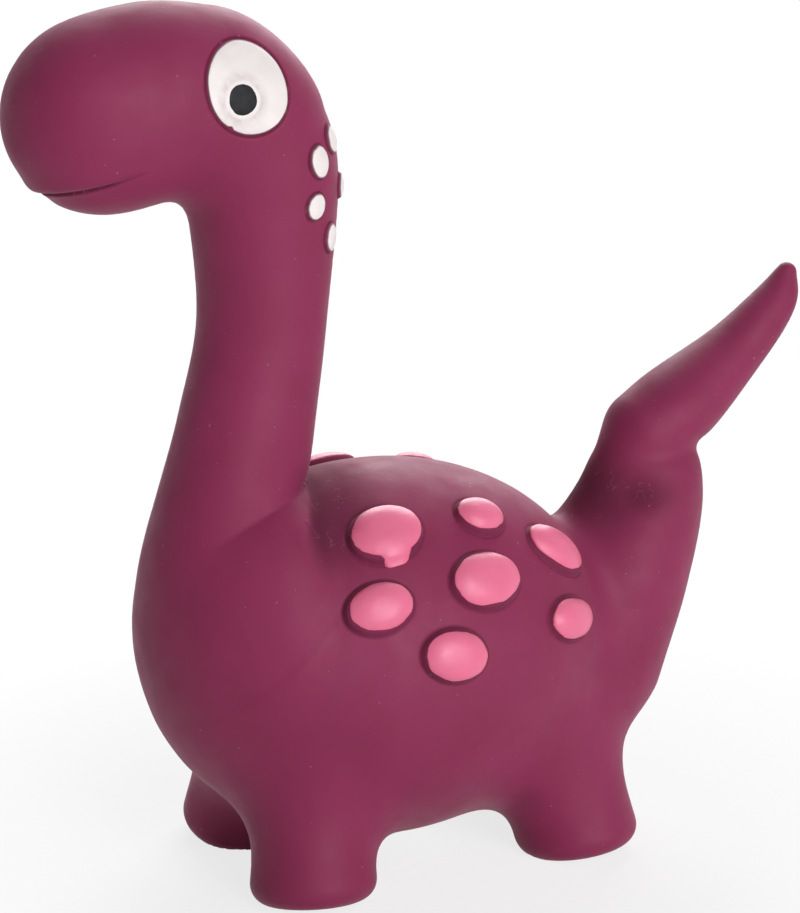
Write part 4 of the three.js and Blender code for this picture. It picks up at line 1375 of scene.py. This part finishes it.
def white_latex(sizes, form):
    """White latex brushed on thickly: satin, with a grey smudge round the pupil where the paints met, and a
    fine dark line along its edge."""
    material = bpy.data.materials.get("White brushed-on latex")
    if material:
        return material
    material, tree = new_material("White brushed-on latex")
    pupil = form.cheek_patch(*PUPIL, False)
    middle = Vector((pupil.origin.x, 0, pupil.origin.z)) * MM
    place = node(tree, "ShaderNodeTexCoord").node.outputs["Object"]
    flat = node(tree, "ShaderNodeVectorMath", place, (1, 0, 1), operation="MULTIPLY")
    off = node(tree, "ShaderNodeVectorMath", flat, middle, operation="DISTANCE")
    smudge = patchy(tree, 0.0012, 0.15, 0.5, 0.15)
    for ends in ((*SMUDGE_IN, 0, 1), (*SMUDGE_OUT, 1, 0)):
        ring = node(tree, "ShaderNodeMapRange", off, *ends)
        smudge = node(tree, "ShaderNodeMath", smudge, ring, operation="MULTIPLY")
    to_edge = node(tree, "ShaderNodeAttribute", attribute_name="to_edge").node.outputs["Fac"]
    line = node(tree, "ShaderNodeMapRange", to_edge, *EDGE_LINE, 0.85, 0)
    colour = mottled(tree, 0.003, linear("f3eae9"), tuple(sizes.white))
    for share, tone in ((smudge, "b7a5a6"), (line, "4a2a38")):
        colour = node(tree, "ShaderNodeMix", share, colour, linear(tone), data_type="RGBA")
    layers = [(grain(tree, 0.0015), 0.00004)]
    finish(tree, colour, patchy(tree, 0.002, 0.42, 0.55), layers, {"IOR": LATEX_IOR})
    return material


def black_latex(sizes):
    """Charcoal latex dabbed on: satin, and a little uneven where it is thinner."""
    material, tree = new_material("Charcoal dabbed-on latex")
    colour = mottled(tree, 0.0012, tuple(sizes.black), linear("2a282c"))
    look = {"IOR": LATEX_IOR, "Specular IOR Level": 0.15}
    finish(tree, colour, patchy(tree, 0.001, 0.4, 0.55), [(grain(tree, 0.0008), 0.00003)], look)
    return material


def white_polypropylene():
    """Unfilled polypropylene, injection-moulded: milky off-white with a fine spark-eroded grain, which is
    drawn a little coarser than it is."""
    material, tree = new_material("Off-white moulded polypropylene")
    colour = mottled(tree, 0.004, linear("e6e2d8"), linear("efece4"))
    layers = [(grain(tree, 0.0003), 0.000008)]
    finish(tree, colour, patchy(tree, 0.0015, 0.32, 0.45), layers, {"IOR": POLYPROPYLENE_IOR})
    return material


def polyester_film():
    """Thin drawn polyester film: clear, slightly yellow and glossy, with faint draw lines along its height.
    They are drawn a quarter of a millimetre apart, which is coarser than they are."""
    material, tree = new_material("Clear drawn polyester film")
    place = node(tree, "ShaderNodeTexCoord").node.outputs["Object"]
    drawn = node(tree, "ShaderNodeMapping", named={"Vector": place, "Scale": (1, 1, 0.05)})
    lines = node(tree, "ShaderNodeTexNoise", named={"Vector": drawn, "Scale": 1 / 0.00025})
    share = node(tree, "ShaderNodeMapRange", lines, 0.4, 0.6)
    colour = node(tree, "ShaderNodeMix", share, linear("d8d2c0"), linear("e6e1d3"), data_type="RGBA")
    roughness = node(tree, "ShaderNodeMapRange", lines, 0.3, 0.7, 0.12, 0.25)
    look = {"IOR": POLYESTER_IOR, "Transmission Weight": 0.6}
    finish(tree, colour, roughness, [(lines, 0.000005)], look)
    return material


# The floor's shadows fade out to plain white between these distances from the toy, in metres
SHADOW_NEAR = 0.05
SHADOW_FAR = 0.11
# How much of the white card's own light stays near the toy
SHADOW_SHARE = 0.22


def floor_board():
    """Smooth white card. To the camera it is nearly as bright as the background, and it keeps soft shadows
    round the toy."""
    material, tree = new_material("White studio card")
    colour = mottled(tree, 0.002, linear("f6f6f6"), linear("fafafa"), 0.2)
    card = node(tree, "ShaderNodeBsdfDiffuse", colour)
    glow = node(tree, "ShaderNodeEmission", (1, 1, 1, 1), 1)
    place = node(tree, "ShaderNodeTexCoord").node.outputs["Object"]
    off = node(tree, "ShaderNodeVectorMath", place, operation="LENGTH")
    whitened = node(tree, "ShaderNodeMapRange", off, SHADOW_NEAR, SHADOW_FAR, 1 - SHADOW_SHARE, 1)
    share = node(tree, "ShaderNodeMath", whitened, seen_directly(tree), operation="MULTIPLY")
    node(tree, "ShaderNodeOutputMaterial", node(tree, "ShaderNodeMixShader", share, card, glow))
    return material


def seen_directly(tree):
    """1 where the camera looks, also in a mirror or through glass, and 0 for light that falls on the toy."""
    path = node(tree, "ShaderNodeLightPath").node.outputs
    seen = path["Is Camera Ray"]
    for way in ("Is Glossy Ray", "Is Transmission Ray"):
        seen = node(tree, "ShaderNodeMath", seen, path[way], operation="MAXIMUM")
    return seen


# Studio


def view_axes(sizes):
    """The camera's right, up and backward directions."""
    turn, rise = sizes.azimuth, sizes.elevation
    back = Vector((math.sin(turn) * math.cos(rise), -math.cos(turn) * math.cos(rise), math.sin(rise)))
    right = Vector((math.cos(turn), math.sin(turn), 0))
    return right, back.cross(right), back


def facing(direction, place):
    """The matrix of a camera or lamp at a place that looks against a direction."""
    matrix = direction.to_track_quat("Z", "Y").to_matrix().to_4x4()
    matrix.translation = place
    return matrix


PICTURE_HEIGHT_PIXELS = 913
# The height of the camera's sensor in millimetres
SENSOR = 36

# Soft boxes: to the right, up and towards the camera from the toy, distance and side in metres, and watts
LAMPS = {
    "key": ((0.65, 0.05, 1), 1.0, 0.6, 5.6),
    "low": ((0.55, -0.4, 1), 1.2, 0.7, 2.2),
    "high": ((0.4, 0.5, 1), 1.1, 0.3, 1.2),
    "rim": ((0.1, 0.85, -0.7), 0.9, 0.7, 7.2),
}
# How much light the white surroundings throw on the toy
WORLD_LIGHT = 0.1


class TOY_OT_studio(bpy.types.Operator):
    """Makes the floor, the white surroundings, the soft boxes and the camera"""

    bl_idname = "toy.studio"
    bl_label = "Studio"

    def execute(self, context):
        sizes = context.scene.toy_studio
        self.floor(sizes)
        self.surroundings(context.scene)
        self.lamps(sizes)
        self.camera(sizes)
        context.scene.view_settings.view_transform = "Standard"
        return {"FINISHED"}

    def floor(self, sizes):
        half = sizes.floor_size / MM / 2
        corners = [(-half, -half, 0), (half, -half, 0), (half, half, 0), (-half, half, 0)]
        floor = add_mesh("floor", corners, [(0, 1, 2, 3)])
        floor.data.materials.append(floor_board())

    def surroundings(self, scene):
        scene.world = bpy.data.worlds.new("White surroundings")
        scene.world.use_nodes = True
        tree = scene.world.node_tree
        tree.nodes.clear()
        strength = node(tree, "ShaderNodeMapRange", seen_directly(tree), 0, 1, WORLD_LIGHT, 1)
        node(tree, "ShaderNodeOutputWorld", node(tree, "ShaderNodeBackground", (1, 1, 1, 1), strength))

    def lamps(self, sizes):
        axes = view_axes(sizes)
        target = Vector(sizes.target)
        for name, (towards, distance, side, power) in LAMPS.items():
            direction = sum((axis * share for axis, share in zip(axes, towards)), Vector())
            direction.normalize()
            lamp = bpy.data.lights.new(f"{name} soft box", "AREA")
            lamp.shape = "SQUARE"
            lamp.size = side
            lamp.energy = power
            box = bpy.data.objects.new(f"{name} soft box", lamp)
            box.matrix_world = facing(direction, target + direction * distance)
            bpy.context.scene.collection.objects.link(box)

    def camera(self, sizes):
        right, up, back = view_axes(sizes)
        data = bpy.data.cameras.new("camera")
        data.sensor_fit = "VERTICAL"
        data.sensor_height = SENSOR
        data.lens = SENSOR * sizes.focal_pixels / PICTURE_HEIGHT_PIXELS
        camera = bpy.data.objects.new("camera", data)
        matrix = Matrix((right, up, back)).transposed().to_4x4()
        matrix.translation = Vector(sizes.target) + back * sizes.distance
        camera.matrix_world = matrix
        bpy.context.scene.collection.objects.link(camera)
        bpy.context.scene.camera = camera


class TOY_PT_panel(bpy.types.Panel):
    """Lists the steps that make the toy"""

    bl_idname = "TOY_PT_panel"
    bl_label = "Latex dinosaur"
    bl_space_type = "VIEW_3D"
    bl_region_type = "UI"
    bl_category = "Dog toy"

    def draw(self, context):
        for operator in STEPS:
            self.layout.operator(operator.bl_idname)
        for group in GROUPS:
            owner = getattr(context.scene, group)
            for name in owner.__annotations__:
                self.layout.prop(owner, name)


STEPS = (TOY_OT_studio, TOY_OT_skin, TOY_OT_eyes, TOY_OT_back_spots, TOY_OT_nape_spots, TOY_OT_squeaker)
GROUPS = {
    "toy_skin": SkinSizes,
    "toy_coats": CoatSizes,
    "toy_squeaker": SqueakerSizes,
    "toy_studio": StudioSizes,
}
CLASSES = (*GROUPS.values(), *STEPS, TOY_PT_panel)


def register():
    for each in CLASSES:
        bpy.utils.register_class(each)
    for name, group in GROUPS.items():
        setattr(bpy.types.Scene, name, PointerProperty(type=group))


def unregister():
    for name in GROUPS:
        delattr(bpy.types.Scene, name)
    for each in reversed(CLASSES):
        bpy.utils.unregister_class(each)


def main():
    register()
    bpy.ops.toy.studio()
    bpy.ops.toy.skin()
    bpy.ops.toy.eyes()
    bpy.ops.toy.back_spots()
    bpy.ops.toy.nape_spots()
    bpy.ops.toy.squeaker()


if __name__ == "__main__":
    main()
